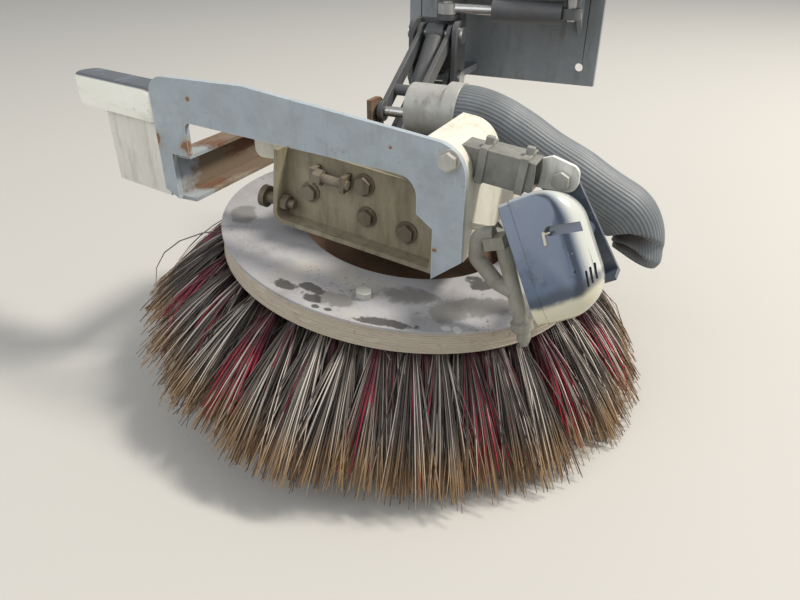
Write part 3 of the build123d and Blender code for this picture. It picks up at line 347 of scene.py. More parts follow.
# Mesh tools
def fast_mesh(name, points, quads, triangles=None, values=None):
    """A smooth mesh from arrays, with optional named values on its points."""
    points = points.reshape(-1, 3)
    if triangles is None:
        triangles = np.zeros((0, 3), int)
    mesh = bpy.data.meshes.new(name)
    mesh.vertices.add(len(points))
    mesh.vertices.foreach_set("co", np.asarray(points, dtype=np.float32).ravel())
    loops = np.concatenate([quads.ravel(), triangles.ravel()]).astype(np.int32)
    totals = np.concatenate([np.full(len(quads), 4), np.full(len(triangles), 3)]).astype(np.int32)
    starts = np.concatenate([[0], np.cumsum(totals)[:-1]]).astype(np.int32)
    mesh.loops.add(len(loops))
    mesh.loops.foreach_set("vertex_index", loops)
    mesh.polygons.add(len(totals))
    mesh.polygons.foreach_set("loop_start", starts)
    mesh.polygons.foreach_set("loop_total", totals)
    mesh.polygons.foreach_set("use_smooth", np.ones(len(totals), dtype=bool))
    mesh.update(calc_edges=True)
    for key, data in (values or {}).items():
        layer = mesh.attributes.new(key, "FLOAT", "POINT")
        layer.data.foreach_set("value", np.asarray(data, dtype=np.float32).ravel())
    mesh.validate()
    return mesh


def point_numbers(grid):
    """The numbers of the points of a grid, whose last axis holds X, Y and Z."""
    return np.arange(grid.size // 3).reshape(grid.shape[:-1])


def ring_quads(index):
    """The quads of a grid of point numbers that is closed both ways."""
    beside = np.roll(index, -1, axis=1)
    quads = [index, beside, np.roll(beside, -1, axis=0), np.roll(index, -1, axis=0)]
    return np.stack(quads, axis=-1).reshape(-1, 4)


def tube_quads(index):
    """The quads of a grid of point numbers that is closed round its last axis alone."""
    beside = np.roll(index, -1, axis=-1)
    quads = [index[..., :-1, :], beside[..., :-1, :], beside[..., 1:, :], index[..., 1:, :]]
    return np.stack(quads, axis=-1).reshape(-1, 4)


def place_mesh(mesh, name, matrix, body, material, replaced=()):
    """Makes a piece of a mesh, with its place in the mesh."""
    mesh.transform(matrix)
    piece = new_object(name, mesh)
    mesh.materials.append(material)
    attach(piece, body)
    if replaced:
        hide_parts(*replaced)
    return piece


def soften(piece, width):
    round_edges(piece, width, 3)
    piece.data.shade_smooth()


ARC_STEPS = 8
SHARP_CORNERS = (1.0, 1.0, 1.0, 1.0)


def rounded_outline(left, right, low, high, radii, steps=ARC_STEPS):
    """Points and outward directions round a box. Its radii start at the low left, then low right."""
    corners = [
        (left, low, 1, 1, 180), (right, low, -1, 1, 270), (right, high, -1, -1, 0), (left, high, 1, -1, 90),
    ]
    points = []
    outward = []
    for (x, z, toward_x, toward_z, first), radius in zip(corners, radii):
        for step in range(steps + 1):
            angle = math.radians(first + 90 * step / steps)
            across, up = math.cos(angle), math.sin(angle)
            points.append((x + toward_x * radius + radius * across, z + toward_z * radius + radius * up))
            outward.append((across, up))
    return points, outward


def prism(outline, low, high):
    """A closed prism along Y of an outline in X and Z."""
    count = len(outline)
    vertices = [(x, low, z) for x, z in outline] + [(x, high, z) for x, z in outline]
    faces = [(k, (k + 1) % count, (k + 1) % count + count, k + count) for k in range(count)]
    faces += [tuple(reversed(range(count))), tuple(range(count, 2 * count))]
    mesh = bpy.data.meshes.new("prism")
    mesh.from_pydata(vertices, [], faces)
    form = bmesh.new()
    form.from_mesh(mesh)
    bmesh.ops.recalc_face_normals(form, faces=form.faces)
    form.to_mesh(mesh)
    form.free()
    return mesh


def block(left, right, low, high, radii, depths):
    """A closed block along Y with rounded corners."""
    return prism(rounded_outline(left, right, low, high, radii)[0], *depths)


def crosswise_block(front, back, low, high, radii, sides):
    """A closed block along X with rounded corners."""
    mesh = block(front, back, low, high, radii, sides)
    mesh.transform(Matrix(((0, 1, 0, 0), (1, 0, 0, 0), (0, 0, 1, 0), (0, 0, 0, 1))))
    mesh.flip_normals()
    return mesh


def stadium(centre, half_length, half_width, low, high, slant=0.0):
    """A closed prism along Y with round ends."""
    outline = []
    for first, side in ((-90, 1), (90, -1)):
        for step in range(ARC_STEPS + 1):
            angle = math.radians(first + 180 * step / ARC_STEPS)
            x = side * (half_length - half_width) + half_width * math.cos(angle)
            z = half_width * math.sin(angle)
            across = centre[0] + x * math.cos(slant) - z * math.sin(slant)
            up = centre[1] + x * math.sin(slant) + z * math.cos(slant)
            outline.append((across, up))
    return prism(outline, low, high)


# The least angle shaded sharp on a cut piece
CUT_SHARP = math.radians(38)


def carve(mesh, tools):
    """A mesh with other closed meshes cut out of it."""
    body = new_object("body", mesh)
    holders = []
    for tool in tools:
        holder = new_object("tool", tool)
        cut = body.modifiers.new("cut", "BOOLEAN")
        cut.operation = "DIFFERENCE"
        cut.solver = "EXACT"
        cut.object = holder
        holders.append(holder)
    result = bpy.data.meshes.new_from_object(body.evaluated_get(bpy.context.evaluated_depsgraph_get()))
    for holder in [body, *holders]:
        bpy.data.objects.remove(holder)
    result.set_sharp_from_angle(angle=CUT_SHARP)
    return result


# Ring of laminated wood
RING_OUT = 260.0
RING_IN = 148.0
RING_T = 30.0
RING_SEGMENTS = 240
PLY_COUNT = 8
PLY_GROOVE = 0.9
PLY_STEP_BACK = 0.35
PLY_ROUND = 0.5
PLY_GAP = 0.01


def make_ring():
    """The ring, with a groove between its plies and every other ply a little back."""
    step = RING_T / PLY_COUNT
    outline = [(RING_IN, 0.0)]
    for ply in range(PLY_COUNT):
        low = ply * step
        radius = RING_OUT - PLY_STEP_BACK * (ply % 2)
        outline += [
            (RING_OUT - PLY_GROOVE, low + PLY_GAP),
            (radius, low + PLY_ROUND),
            (radius, low + step - PLY_ROUND),
            (RING_OUT - PLY_GROOVE, low + step - PLY_GAP),
        ]
    outline.append((RING_IN, RING_T))
    radius, height = np.array(outline).T
    turn = np.linspace(0, 2 * math.pi, RING_SEGMENTS, endpoint=False)[:, None]
    points = np.stack([np.cos(turn) * radius, np.sin(turn) * radius, height + 0 * turn], axis=-1)
    mesh = fast_mesh("ring", points, ring_quads(point_numbers(points)), values={"level": points[..., 2]})
    replaced = ("brush_ring_and_bristles",)
    place_mesh(mesh, "ring_plywood", BRUSH_PLACE, "brush", ply_material(), replaced)


def ply_material():
    """Grey, weathered plywood with stripes that follow the plies."""
    made = Paint("ply_wood", (190, 180, 163), 0.8)
    level = made.add("ShaderNodeCombineXYZ", {"Z": made.attribute("level")}).outputs[0]
    bands = {"wave_type": "BANDS", "bands_direction": "Z", "wave_profile": "SIN"}
    stripe = made.add("ShaderNodeTexWave", {"Vector": level, "Scale": 0.42}, **bands)
    made.layer((110, 98, 84), made.band(stripe.outputs["Fac"], 0.4, 0.85), 0.75)
    made.patches((206, 197, 180), 0.5, (0.5, 0.72), (30, 5, 0.7), (1, 1, 5))
    made.patches((124, 108, 88), 0.6, (0.56, 0.72), (16, 5, 0.7), shift=4)
    made.patches((96, 84, 70), 0.5, (0.62, 0.74), (130, 3, 0.6), shift=8)
    made.bump(0.0006, 0.4, (200, 4, 0.7), (1, 1, 3))
    return made.done()


# Top sheet. Wet and damp places: angle in degrees, radius, half length and half width
COVER_TOP = RING_T + 4
WET_PLACES = [
    (-102.5, 243, 16, 9), (-95.5, 226, 17, 9), (-93.0, 243, 13, 9), (-71.0, 253, 34, 8), (-32.5, 172, 16, 16),
    (-90.0, 256, 5, 4), (-86.5, 254, 5, 4), (128.0, 226, 30, 14), (70.0, 206, 22, 12),
]
DAMP_PLACES = [
    (-87.0, 231, 22, 16), (-64.5, 190, 34, 20), (-47.0, 220, 64, 22), (-150.0, 236, 30, 18),
    (-20.0, 232, 40, 20), (30.0, 200, 60, 26), (110.0, 210, 70, 26), (165.0, 205, 46, 22),
]
# Bare spots: X and Y in the brush's frame, and radius
BARE_SPOTS = [(146, -209, 6), (158, -204, 6)]
# How far noise shifts the edge of a wet or damp place
OVAL_SHAKE = 2.2


def ovals(made, places, warp, sharp):
    """A mask of ragged ovals on the brush's top sheet."""
    found = None
    turned = BRUSH_PLACE.to_3x3().normalized()
    shaken = made.math("MULTIPLY_ADD", warp, 2 * OVAL_SHAKE, -OVAL_SHAKE, clamp=False)
    for angle, radius, half_length, half_width in places:
        turn = math.radians(angle)
        out = Vector((math.cos(turn), math.sin(turn), 0))
        round_ring = Vector((-math.sin(turn), math.cos(turn), 0))
        centre = BRUSH_PLACE @ Vector((radius * out.x, radius * out.y, COVER_TOP))
        total = None
        for direction, half in ((round_ring, half_length), (out, half_width)):
            share = made.along(turned @ direction / (half * MM), centre)
            square = made.math("MULTIPLY", share, share, clamp=False)
            total = square if total is None else made.math("ADD", total, square, clamp=False)
        place = made.band(made.math("ADD", total, shaken, clamp=False), 1.0 + sharp, 1.0 - sharp)
        found = place if found is None else made.either(found, place)
    return found


def cover_material():
    """A grey sheet with stains, specks, and wet and damp places."""
    made = Paint("cover_sheet", (148, 147, 149), 0.6)
    made.patches((172, 171, 173), 0.6, (0.46, 0.68), (9, 6, 0.7))
    made.patches((124, 119, 116), 0.6, (0.5, 0.7), (16, 6, 0.72), shift=3)
    made.patches((186, 176, 154), 0.35, (0.56, 0.7), (7, 4, 0.6), shift=21)
    made.patches((112, 92, 70), 0.75, (0.66, 0.72), (150, 3, 0.6), shift=6)
    specks = made.mask((0.6, 0.66), (260, 2, 0.6), shift=25)
    made.layer((92, 66, 46), made.both(specks, made.mask((0.5, 0.6), (14, 3, 0.6), shift=27)), 0.8)
    damp = made.layer((106, 104, 100), ovals(made, DAMP_PLACES, made.noise(30, 5, 0.7, shift=11), 0.3), 0.75)
    wet = made.layer((56, 54, 52), ovals(made, WET_PLACES, made.noise(52, 4, 0.65, shift=14), 0.25), 0.85)
    bare = [(BRUSH_PLACE @ Vector((x, y, COVER_TOP)), size) for x, y, size in BARE_SPOTS]
    made.layer((196, 194, 188), made.near(bare), 0.7)
    made.roughen(damp, 0.42)
    made.roughen(wet, 0.3)
    made.bump(0.0004, 0.3, (240, 3, 0.6))
    made.bump(0.003, 0.15, (9, 4, 0.6), shift=5)
    return made.done()


# Strands, drawn with three sides and tapered to the tip
STRANDS = 16000
STRAND_GROUPS = 4
STRAND_STATIONS = 6
STRAND_SIDES = 3
STRAND_TAPER = 0.45
STRAND_SEED = 11
# Rows of tufts: root radius, tip radius, tufts, first angle in degrees and share of strands
STRAND_ROWS = [
    (224.0, 298.0, 36, 0.0, 0.26),
    (238.0, 340.0, 40, 4.0, 0.34),
    (250.0, 372.0, 44, 2.0, 0.40),
]
ROW_LEAN = math.radians(7)
TIP_LIFT = 1.5
TIP_RADII = (262, 388)
# How far inside the ring's edge a strand starts, and how far up
ROOT_INSET = 2.5
ROOT_RISE = 1.0
# Random numbers kept for the tufts of a row, all tufts, the wisps of a tuft and all wisps
ROW_NUMBERS = 64
TUFT_NUMBERS = 256
WISPS = 7
WISP_NUMBERS = 2048
# Spread of the lean, in radians, and of the reach, for tufts, wisps, strands and strays
LEANS = (0.022, 0.016, 0.012, 0.13)
REACHES = (7, 6, 6, 26)
STRAY_SHARE = 0.016
# A tuft at its root, spread and half width, and how much wider it is at the tips, out and round
TUFT_SPREAD = 3.4
TUFT_HALF = 7
FAN_OUT = 2.2
FAN_ROUND = 3.6
# Shares of dyed tufts in each row (the last is for numbers left over), of dyed wisps in a dyed tuft
# and elsewhere, and of dyed strands in a dyed wisp and elsewhere
DYED_TUFTS = (0.45, 0.62, 0.62, 0.0)
DYED_WISPS = (0.56, 0.05)
DYED_STRANDS = (0.8, 0.03)
DYED_SHORTER = 12
# Share of a strand that is worn off: least and most if dyed, spread if not, and the limit
WORN_DYED = (0.1, 0.36)
WORN_WIRE = 0.095
WORN_LIMIT = 0.4
# Least and most half width, mean and spread of the bow, its share upward, and the wave
DYED_WIDTH = (0.95, 1.5)
WIRE_WIDTH = (0.65, 1.35)
BOW = (4, 2.2)
BOW_UP = 0.6
STRAY_BOW = 14
WAVE = 0.45
WAVE_TURN = 6.0


def strand_ends(chance, count):
    """Start and end points of the strands, and which of them are dyed or stray."""
    shares = np.cumsum([row[4] for row in STRAND_ROWS])
    row = np.minimum(np.searchsorted(shares, chance.uniform(0, 1, count)), len(STRAND_ROWS) - 1)
    root_r, tip_r, tufts, first = (np.array([entry[k] for entry in STRAND_ROWS])[row] for k in range(4))
    tuft = np.floor(chance.uniform(0, 1, count) * tufts)
    key = (row * ROW_NUMBERS + tuft).astype(int)
    tuft_angle = np.radians(first) + tuft * 2 * math.pi / tufts
    wisp = key * WISPS + chance.integers(0, WISPS, count)
    lean, reach = (
        chance.normal(0, tuft_wide, TUFT_NUMBERS)[key] + chance.normal(0, wisp_wide, WISP_NUMBERS)[wisp]
        for tuft_wide, wisp_wide, _, _ in (LEANS, REACHES)
    )
    side, out = (np.clip(chance.normal(0, TUFT_SPREAD, count), -TUFT_HALF, TUFT_HALF) for _ in range(2))
    dyed_tuft = chance.uniform(0, 1, TUFT_NUMBERS) < np.repeat(DYED_TUFTS, ROW_NUMBERS)
    tuft_of_wisp = np.minimum(np.arange(WISP_NUMBERS) // WISPS, TUFT_NUMBERS - 1)
    dyed_wisp = chance.uniform(0, 1, WISP_NUMBERS) < np.where(dyed_tuft, *DYED_WISPS)[tuft_of_wisp]
    dyed = chance.uniform(0, 1, count) < np.where(dyed_wisp, *DYED_STRANDS)[wisp]
    stray = chance.uniform(0, 1, count) < STRAY_SHARE
    start_r = np.minimum(root_r + out, RING_OUT - ROOT_INSET)
    start_turn = tuft_angle + side / root_r
    end_r = tip_r + out * FAN_OUT + reach + chance.normal(0, REACHES[2], count) - DYED_SHORTER * dyed
    end_r = np.clip(end_r + np.where(stray, chance.normal(0, REACHES[3], count), 0), *TIP_RADII)
    end_turn = tuft_angle + side * FAN_ROUND / root_r + lean + chance.normal(0, LEANS[2], count)
    end_turn += np.where(stray, chance.normal(0, LEANS[3], count), 0)
    deep = (RING_BOTTOM - TIP_LIFT - end_r * math.sin(ROW_LEAN)) / math.cos(ROW_LEAN)
    outward = np.stack([np.cos(start_turn), np.sin(start_turn), np.zeros(count)], axis=1)
    start = outward * start_r[:, None] + (0, 0, ROOT_RISE)
    end = np.stack([end_r * np.cos(end_turn), end_r * np.sin(end_turn), -deep], axis=1)
    worn = np.where(dyed, chance.uniform(*WORN_DYED, count), np.abs(chance.normal(0, WORN_WIRE, count)))
    end -= (end - start) * np.minimum(worn, WORN_LIMIT)[:, None]
    return start, end, outward, dyed, stray


def strand_lines(start, end, outward, bow, wave):
    """The strands' centre lines, bowed outward and up, with a slight wave."""
    line = []
    for share in np.linspace(0, 1, STRAND_STATIONS):
        arch = 4 * share * (1 - share)
        point = start + (end - start) * share + outward * (bow * arch)[:, None]
        point[:, 2] += bow * arch * BOW_UP
        point += wave * math.sin(share * WAVE_TURN)
        line.append(point)
    return np.stack(line, axis=1)


def make_strands():
    """Wire and dyed strands in tufts, from under the ring out to the road."""
    chance = np.random.default_rng(STRAND_SEED)
    count = STRANDS
    start, end, outward, dyed, stray = strand_ends(chance, count)
    width = np.where(dyed, chance.uniform(*DYED_WIDTH, count), chance.uniform(*WIRE_WIDTH, count))
    bow = chance.normal(*BOW, count) + np.where(stray, chance.normal(0, STRAY_BOW, count), 0)
    line = strand_lines(start, end, outward, bow, chance.normal(0, WAVE, (count, 3)))
    way = end - start
    way /= np.linalg.norm(way, axis=1)[:, None]
    side = np.cross(way, np.array([0.0, 0.0, 1.0]))
    side /= np.linalg.norm(side, axis=1)[:, None]
    up = np.cross(side, way)
    tint = chance.uniform(0, 1, count)
    first_spin = chance.uniform(0, 2 * math.pi, count)
    shares = np.linspace(0, 1, STRAND_STATIONS)
    material = strand_material()
    for group in range(STRAND_GROUPS):
        pick = np.arange(group, count, STRAND_GROUPS)
        shape = np.zeros((len(pick), STRAND_STATIONS, STRAND_SIDES, 3))
        for station, share in enumerate(shares):
            wide = width[pick] * (1.0 - STRAND_TAPER * share)
            for corner in range(STRAND_SIDES):
                spin = first_spin[pick] + corner * 2 * math.pi / STRAND_SIDES
                offset = side[pick] * np.cos(spin)[:, None] + up[pick] * np.sin(spin)[:, None]
                shape[:, station, corner] = line[pick, station] + offset * wide[:, None]
        index = point_numbers(shape)
        ends = np.concatenate([index[:, 0, ::-1], index[:, -1]])
        values = {"along": shares[:, None], "tint": tint[pick, None, None], "dyed": dyed[pick, None, None]}
        values = {key: np.broadcast_to(data, index.shape) for key, data in values.items()}
        mesh = fast_mesh("strands", shape, tube_quads(index), ends, values)
        place_mesh(mesh, f"bristles_{group}", BRUSH_PLACE, "brush", material)


def strand_material():
    """Wire from black to pale, the darkest partly painted shade and the palest painted highlights, golden at
    its end, and dyed strands.
    """
    made = Paint("strand", (100, 92, 85), 0.45)
    along = made.attribute("along")
    tint = made.attribute("tint")
    dyed = made.attribute("dyed")
    # The darkest strands: partly random tone, partly painted shade between the wires
    made.layer((46, 40, 38), made.band(tint, 0.42, 0.26), 0.9)
    # The palest strands are painted highlights
    made.layer((204, 196, 186), made.band(tint, 0.7, 0.84), 0.9)
    made.layer((178, 142, 98), made.both(made.band(along, 0.55, 0.95), made.band(tint, 0.2, 0.45)), 0.8)
    made.layer((104, 76, 50), made.both(made.band(along, 0.6, 1.0), made.band(tint, 0.42, 0.24)), 0.8)
    made.layer((184, 52, 74), dyed, 0.95)
    made.layer((120, 24, 48), made.both(dyed, made.band(tint, 0.6, 0.3)), 0.75)
    made.layer((62, 32, 42), made.both(dyed, made.band(along, 0.6, 0.25)), 0.8)
    made.layer((40, 34, 32), made.band(along, 0.2, 0.0), 0.6)
    return made.done()


# Duct: a tube with fine ribs along it and soft bulges
DUCT_START = (44.0, 368.0)
DUCT_Y = 50.0
DUCT_LEVEL = 30.0
DUCT_TOP_R = 110.0
DUCT_SLOPE = math.radians(27.5)
DUCT_BEND_X = 288.0
DUCT_BEND_R = 55.0
DUCT_BEND_TURN = math.radians(62)
DUCT_TAIL = 27.0
DUCT_OUT_R = 37.0
DUCT_IN_R = 33.5
DUCT_STEP = 2.4
DUCT_RIBS = 46
DUCT_RIB_POINTS = 6
DUCT_RIB_HEIGHT = 0.3
# Where a rib's wave is cut off, for flat grooves
DUCT_GROOVE = -0.4
# Soft bulges: height, waves along the duct in radians and where they start
DUCT_BULGES = [(1.0, 26, 0), (0.7, 11, 1)]
DUCT_BULGE_HEIGHT = 0.8
# Ribs and bulges fade in over a 14th of the length and out over a 30th
DUCT_FADE_IN = 14
DUCT_FADE_OUT = 30
DUCT_MOUTH_CUT = 24.0
DUCT_MOUTH_TURN = math.radians(222)
DUCT_MOUTH_SHARP = 1.7
# The collapsed end: the lip of each fold before the mouth, its length and its depth
DUCT_FOLDS = [(33.0, 38.0, 19.0), (9.0, 26.0, 9.0)]
DUCT_FOLD_TURN = math.radians(246)
DUCT_FOLD_SHARP = 2.2
DUCT_LIP = 3.0
DUCT_LIP_ARCH = 7.0
DUCT_END_ROUND = 16.0
DUCT_END_PINCH = 7.0
DUCT_END_ARC = 0.9
# How deep a fold is when its painted shade is fully dark
DUCT_FOLD_SHADE_DEPTH = 16.0


def duct_path():
    """Lengths, centre points and downward angles along the duct, in site millimetres."""
    top_end = DUCT_START[0] + DUCT_LEVEL + DUCT_TOP_R * math.sin(DUCT_SLOPE)
    stretches = [
        (0.0, DUCT_LEVEL),
        (DUCT_SLOPE, DUCT_TOP_R * DUCT_SLOPE),
        (0.0, (DUCT_BEND_X - top_end) / math.cos(DUCT_SLOPE)),
        (DUCT_BEND_TURN, DUCT_BEND_R * DUCT_BEND_TURN),
        (0.0, DUCT_TAIL),
    ]
    x, z = DUCT_START
    angle = 0.0
    run = 0.0
    points = [(run, x, z, angle)]
    for turn, length in stretches:
        steps = math.ceil(length / DUCT_STEP)
        for _ in range(steps):
            angle += turn / steps / 2
            x += length / steps * math.cos(angle)
            z -= length / steps * math.sin(angle)
            angle += turn / steps / 2
            run += length / steps
            points.append((run, x, z, angle))
    return np.array(points).T


def one_sided(turn, towards, sharp):
    """1 on the side that an angle names, 0 on the other."""
    return ((1 + np.cos(turn - towards)) / 2) ** sharp


def duct_dent(turn, left):
    """How far the wall is folded in, at an angle and a distance before the mouth."""
    dent = np.zeros(len(turn))
    for lip, reach, depth in DUCT_FOLDS:
        lifted = lip + DUCT_LIP_ARCH * np.cos(turn - DUCT_FOLD_TURN)
        into = np.clip((lifted - left) / DUCT_LIP, 0, 1)
        out = np.clip((left - lifted + reach) / (reach - DUCT_LIP), 0, 1)
        dent += depth * into * out
    near_end = np.clip(1 - left / DUCT_END_ROUND, 0, 1)
    pinch = DUCT_END_PINCH * (1 - np.sqrt(1 - DUCT_END_ARC * near_end**2))
    return dent * one_sided(turn, DUCT_FOLD_TURN, DUCT_FOLD_SHARP) + pinch


def make_duct():
    """The duct's outer and inner wall as one closed ring."""
    around = DUCT_RIBS * DUCT_RIB_POINTS
    runs, xs, zs, angles = duct_path()
    turn = np.linspace(0, 2 * math.pi, around, endpoint=False)
    length = runs[-1] - DUCT_MOUTH_CUT * one_sided(turn, DUCT_MOUTH_TURN, DUCT_MOUTH_SHARP)
    rib = np.maximum(np.cos(turn * DUCT_RIBS), DUCT_GROOVE)
    outside = []
    inside = []
    folds = []
    for share in np.linspace(0, 1, len(runs)):
        run = length * share
        dent = duct_dent(turn, length - run)
        folds.append(dent / DUCT_FOLD_SHADE_DEPTH)
        x, z, angle = (np.interp(run, runs, values) for values in (xs, zs, angles))
        bulge = sum(height * np.sin(run / runs[-1] * waves + first) for height, waves, first in DUCT_BULGES)
        fade = min(1.0, share * DUCT_FADE_IN, (1 - share) * DUCT_FADE_OUT)
        outer = DUCT_OUT_R + (bulge * DUCT_BULGE_HEIGHT + rib * DUCT_RIB_HEIGHT) * fade
        for radius, rings in ((outer - dent, outside), (DUCT_IN_R - dent, inside)):
            rise = radius * np.cos(turn)
            across = DUCT_Y + radius * np.sin(turn)
            rings.append(np.stack([x + np.sin(angle) * rise, across, z + np.cos(angle) * rise], axis=1))
    points = np.stack(outside + inside[::-1])
    inner = np.zeros((len(inside), around))
    # rib marks the grooves and the inside, and fold the folds, where shade is painted
    values = {
        "rib": np.concatenate([np.tile(rib, (len(outside), 1)), inner - 1.0]),
        "fold": np.concatenate([np.array(folds), inner]),
    }
    mesh = fast_mesh("duct", points, ring_quads(point_numbers(points)), values=values)
    to_frame = Matrix.Translation(ROAD) @ Matrix.Scale(MM, 4)
    place_mesh(mesh, "duct_hose", to_frame, "brush_frame", duct_material(), ("air_duct",))


def duct_material():
    """Grey rubber with painted shade in its grooves, in its folds and inside."""
    made = Paint("duct_rubber", (106, 111, 115), 0.55)
    made.patches((132, 138, 141), 0.6, (0.45, 0.68), (16, 5, 0.65))
    made.patches((88, 91, 92), 0.6, (0.52, 0.7), (10, 5, 0.7), shift=3)
    # Painted shade in the grooves between the ribs
    made.layer((66, 68, 68), made.band(made.attribute("rib"), 0.0, -0.4), 0.55)
    made.patches((104, 96, 82), 0.5, (0.6, 0.72), (26, 5, 0.75), shift=6)
    # Painted shade on the inside wall
    made.layer((46, 38, 32), made.band(made.attribute("rib"), -0.7, -0.95), 0.95)
    # Painted shade in the folds
    made.layer((50, 41, 34), made.band(made.attribute("fold"), 0.3, 0.75), 0.92)
    return made.done()


# Lamp housing: a soft shell on the lamp's own axes, right, back and up from its corner
LAMP_CORNER = (188.0, -183.0, 342.5)
LAMP_TIP = math.radians(-20)
LAMP_LEAN = math.radians(-29)
SHELL_LEFT = -12.0
SHELL_CUT = 13.2
SHELL_RIGHT = 78.0
SHELL_LOW = -138.0
SHELL_THICK = 54.0
SHELL_CORNERS = (23.0, 44.0, 42.0, 20.0)
SHELL_CORNER_STEPS = 12
# Rounding of the front edge: right, left, top and low
SHELL_ROUNDS = (27.0, 2.5, 8.0, 21.0)
SHELL_FRONT_STEPS = 10
SHELL_BACK_ROUND = 6.0
SHELL_BACK_STEPS = 6
SHELL_CROWN = 0.9
# Rings across the face and the back, as shares of the way from middle to edge
SHELL_FACE_RINGS = (0.04, 0.35, 0.7, 0.9, 0.985)
SHELL_BACK_RINGS = (0.6, 0.04)


def lamp_place():
    """The matrix from the lamp's axes, in millimetres, to the shared frame."""
    turn = Matrix.Rotation(LAMP_TIP, 4, "X") @ Matrix.Rotation(LAMP_LEAN, 4, "Y")
    return Matrix.Translation(site(*LAMP_CORNER)) @ turn @ Matrix.Scale(MM, 4)


def quarter(steps):
    return [math.radians(90 * step / steps) for step in range(steps + 1)]


def upright(flat, depth):
    """A ring of points from X and Z, with its depth."""
    return np.column_stack([flat[:, 0], np.broadcast_to(depth, len(flat)), flat[:, 1]])


def shell_mesh():
    """The lamp's closed shell: a crowned face, soft front edges and a flat back."""
    outline = rounded_outline(SHELL_LEFT, SHELL_RIGHT, SHELL_LOW, 0.0, SHELL_CORNERS, SHELL_CORNER_STEPS)
    points, outward = (np.array(part) for part in outline)
    right, up = outward.T
    front = sum(np.clip(way, 0, 1) ** 2 * size for way, size in zip((right, -right, up, -up), SHELL_ROUNDS))
    middle = points.mean(axis=0)
    face_edge = points - outward * front[:, None]
    back_edge = points - outward * SHELL_BACK_ROUND
    rings = []
    for share in SHELL_FACE_RINGS:
        rings.append(upright(middle + (face_edge - middle) * share, -SHELL_CROWN * (1 - share**2)))
    for angle in quarter(SHELL_FRONT_STEPS):
        moved = points - outward * (front * (1 - math.sin(angle)))[:, None]
        rings.append(upright(moved, front * (1 - math.cos(angle))))
    for angle in quarter(SHELL_BACK_STEPS):
        moved = points - outward * (SHELL_BACK_ROUND * (1 - math.cos(angle)))
        rings.append(upright(moved, SHELL_THICK - SHELL_BACK_ROUND * (1 - math.sin(angle))))
    for share in SHELL_BACK_RINGS:
        rings.append(upright(middle + (back_edge - middle) * share, SHELL_THICK))
    grid = np.stack(rings)
    index = point_numbers(grid)
    beside = np.roll(index, -1, axis=1)
    middles = [(middle[0], depth, middle[1]) for depth in (-SHELL_CROWN, SHELL_THICK)]
    vertices = np.concatenate([grid.reshape(-1, 3), middles])
    first, last = len(vertices) - 2, len(vertices) - 1
    front_cap = np.stack([np.full(len(points), first), beside[0], index[0]], axis=-1)
    back_cap = np.stack([np.full(len(points), last), index[-1], beside[-1]], axis=-1)
    return fast_mesh("shell", vertices, tube_quads(index), np.concatenate([front_cap, back_cap]))


# What is cut out of the shell: the slot, three vents and a screw hole, each with its middle (across
# and up), half length and half width, depth and slant in degrees; and the side by the frame
CUT_FRONT = -6.0
SHELL_CUTS = [
    ((60.0, -47.0), (21.5, 5.0), 13.0, -10),
    ((73.5, -97.0), (8.5, 1.1), 26.0, 82),
    ((69.0, -99.5), (8.5, 1.1), 19.0, 82),
    ((64.5, -102.0), (8.5, 1.1), 13.0, 82),
    ((56.0, -92.0), (1.9, 1.8), 8.0, 0),
]
SAW = (-40.0, SHELL_CUT, -180.0, 40.0)
SAW_DEPTHS = (-40.0, 100.0)

# The frame beside the shell: front, back, low end and top, then corners, sides and pocket
BEZEL_SECTION = (0.8, 52.5, -137.2, -1.0)
BEZEL_CORNERS = (20.0, 8.0, 8.0, 8.0)
BEZEL_SIDES = (0.0, 13.0)
BEZEL_ROUND = 1.2
POCKET_SECTION = (8.0, 46.0, -101.5, -8.0)
POCKET_SIDES = (-9.0, 8.0)

# The catch on the face and its pin: name, middle, halves, depths, slant, what it replaces and rounding
CATCH = [
    ("lamp_catch", (37.0, -50.5), (7.5, 1.7), (-3.4, -0.6), 84, ("lamp_clip",), 0.9),
    ("lamp_catch_pin", (40.5, -46.0), (4.0, 1.0), (-2.6, 3.0), 0, (), 0.7),
]
CATCH_ZINC = ((172, 168, 156), (220, 216, 204), (128, 116, 98), (150, 96, 58), 0.3, 0.5, 0.45, 0.0006, 0.4)


def make_lamp():
    place = lamp_place()
    slot, *others = (
        stadium(centre, *halves, CUT_FRONT, depth, math.radians(slant))
        for centre, halves, depth, slant in SHELL_CUTS
    )
    shell = carve(shell_mesh(), [slot, block(*SAW, SHARP_CORNERS, SAW_DEPTHS), *others])
    name = "lamp_shell"
    place_mesh(shell, name, place, "lamp_head", lamp_material(name), ("lamp_housing",))
    pocket = crosswise_block(*POCKET_SECTION, SHARP_CORNERS, POCKET_SIDES)
    bezel = carve(crosswise_block(*BEZEL_SECTION, BEZEL_CORNERS, BEZEL_SIDES), [pocket])
    name = "lamp_frame"
    piece = place_mesh(bezel, name, place, "lamp_head", lamp_material(name), ("lamp_bezel",))
    soften(piece, BEZEL_ROUND)
    zinc = weathered("catch_zinc", *CATCH_ZINC)
    for name, centre, halves, depths, slant, replaced, rounding in CATCH:
        mesh = stadium(centre, *halves, *depths, math.radians(slant))
        soften(place_mesh(mesh, name, place, "lamp_head", zinc, replaced), rounding)


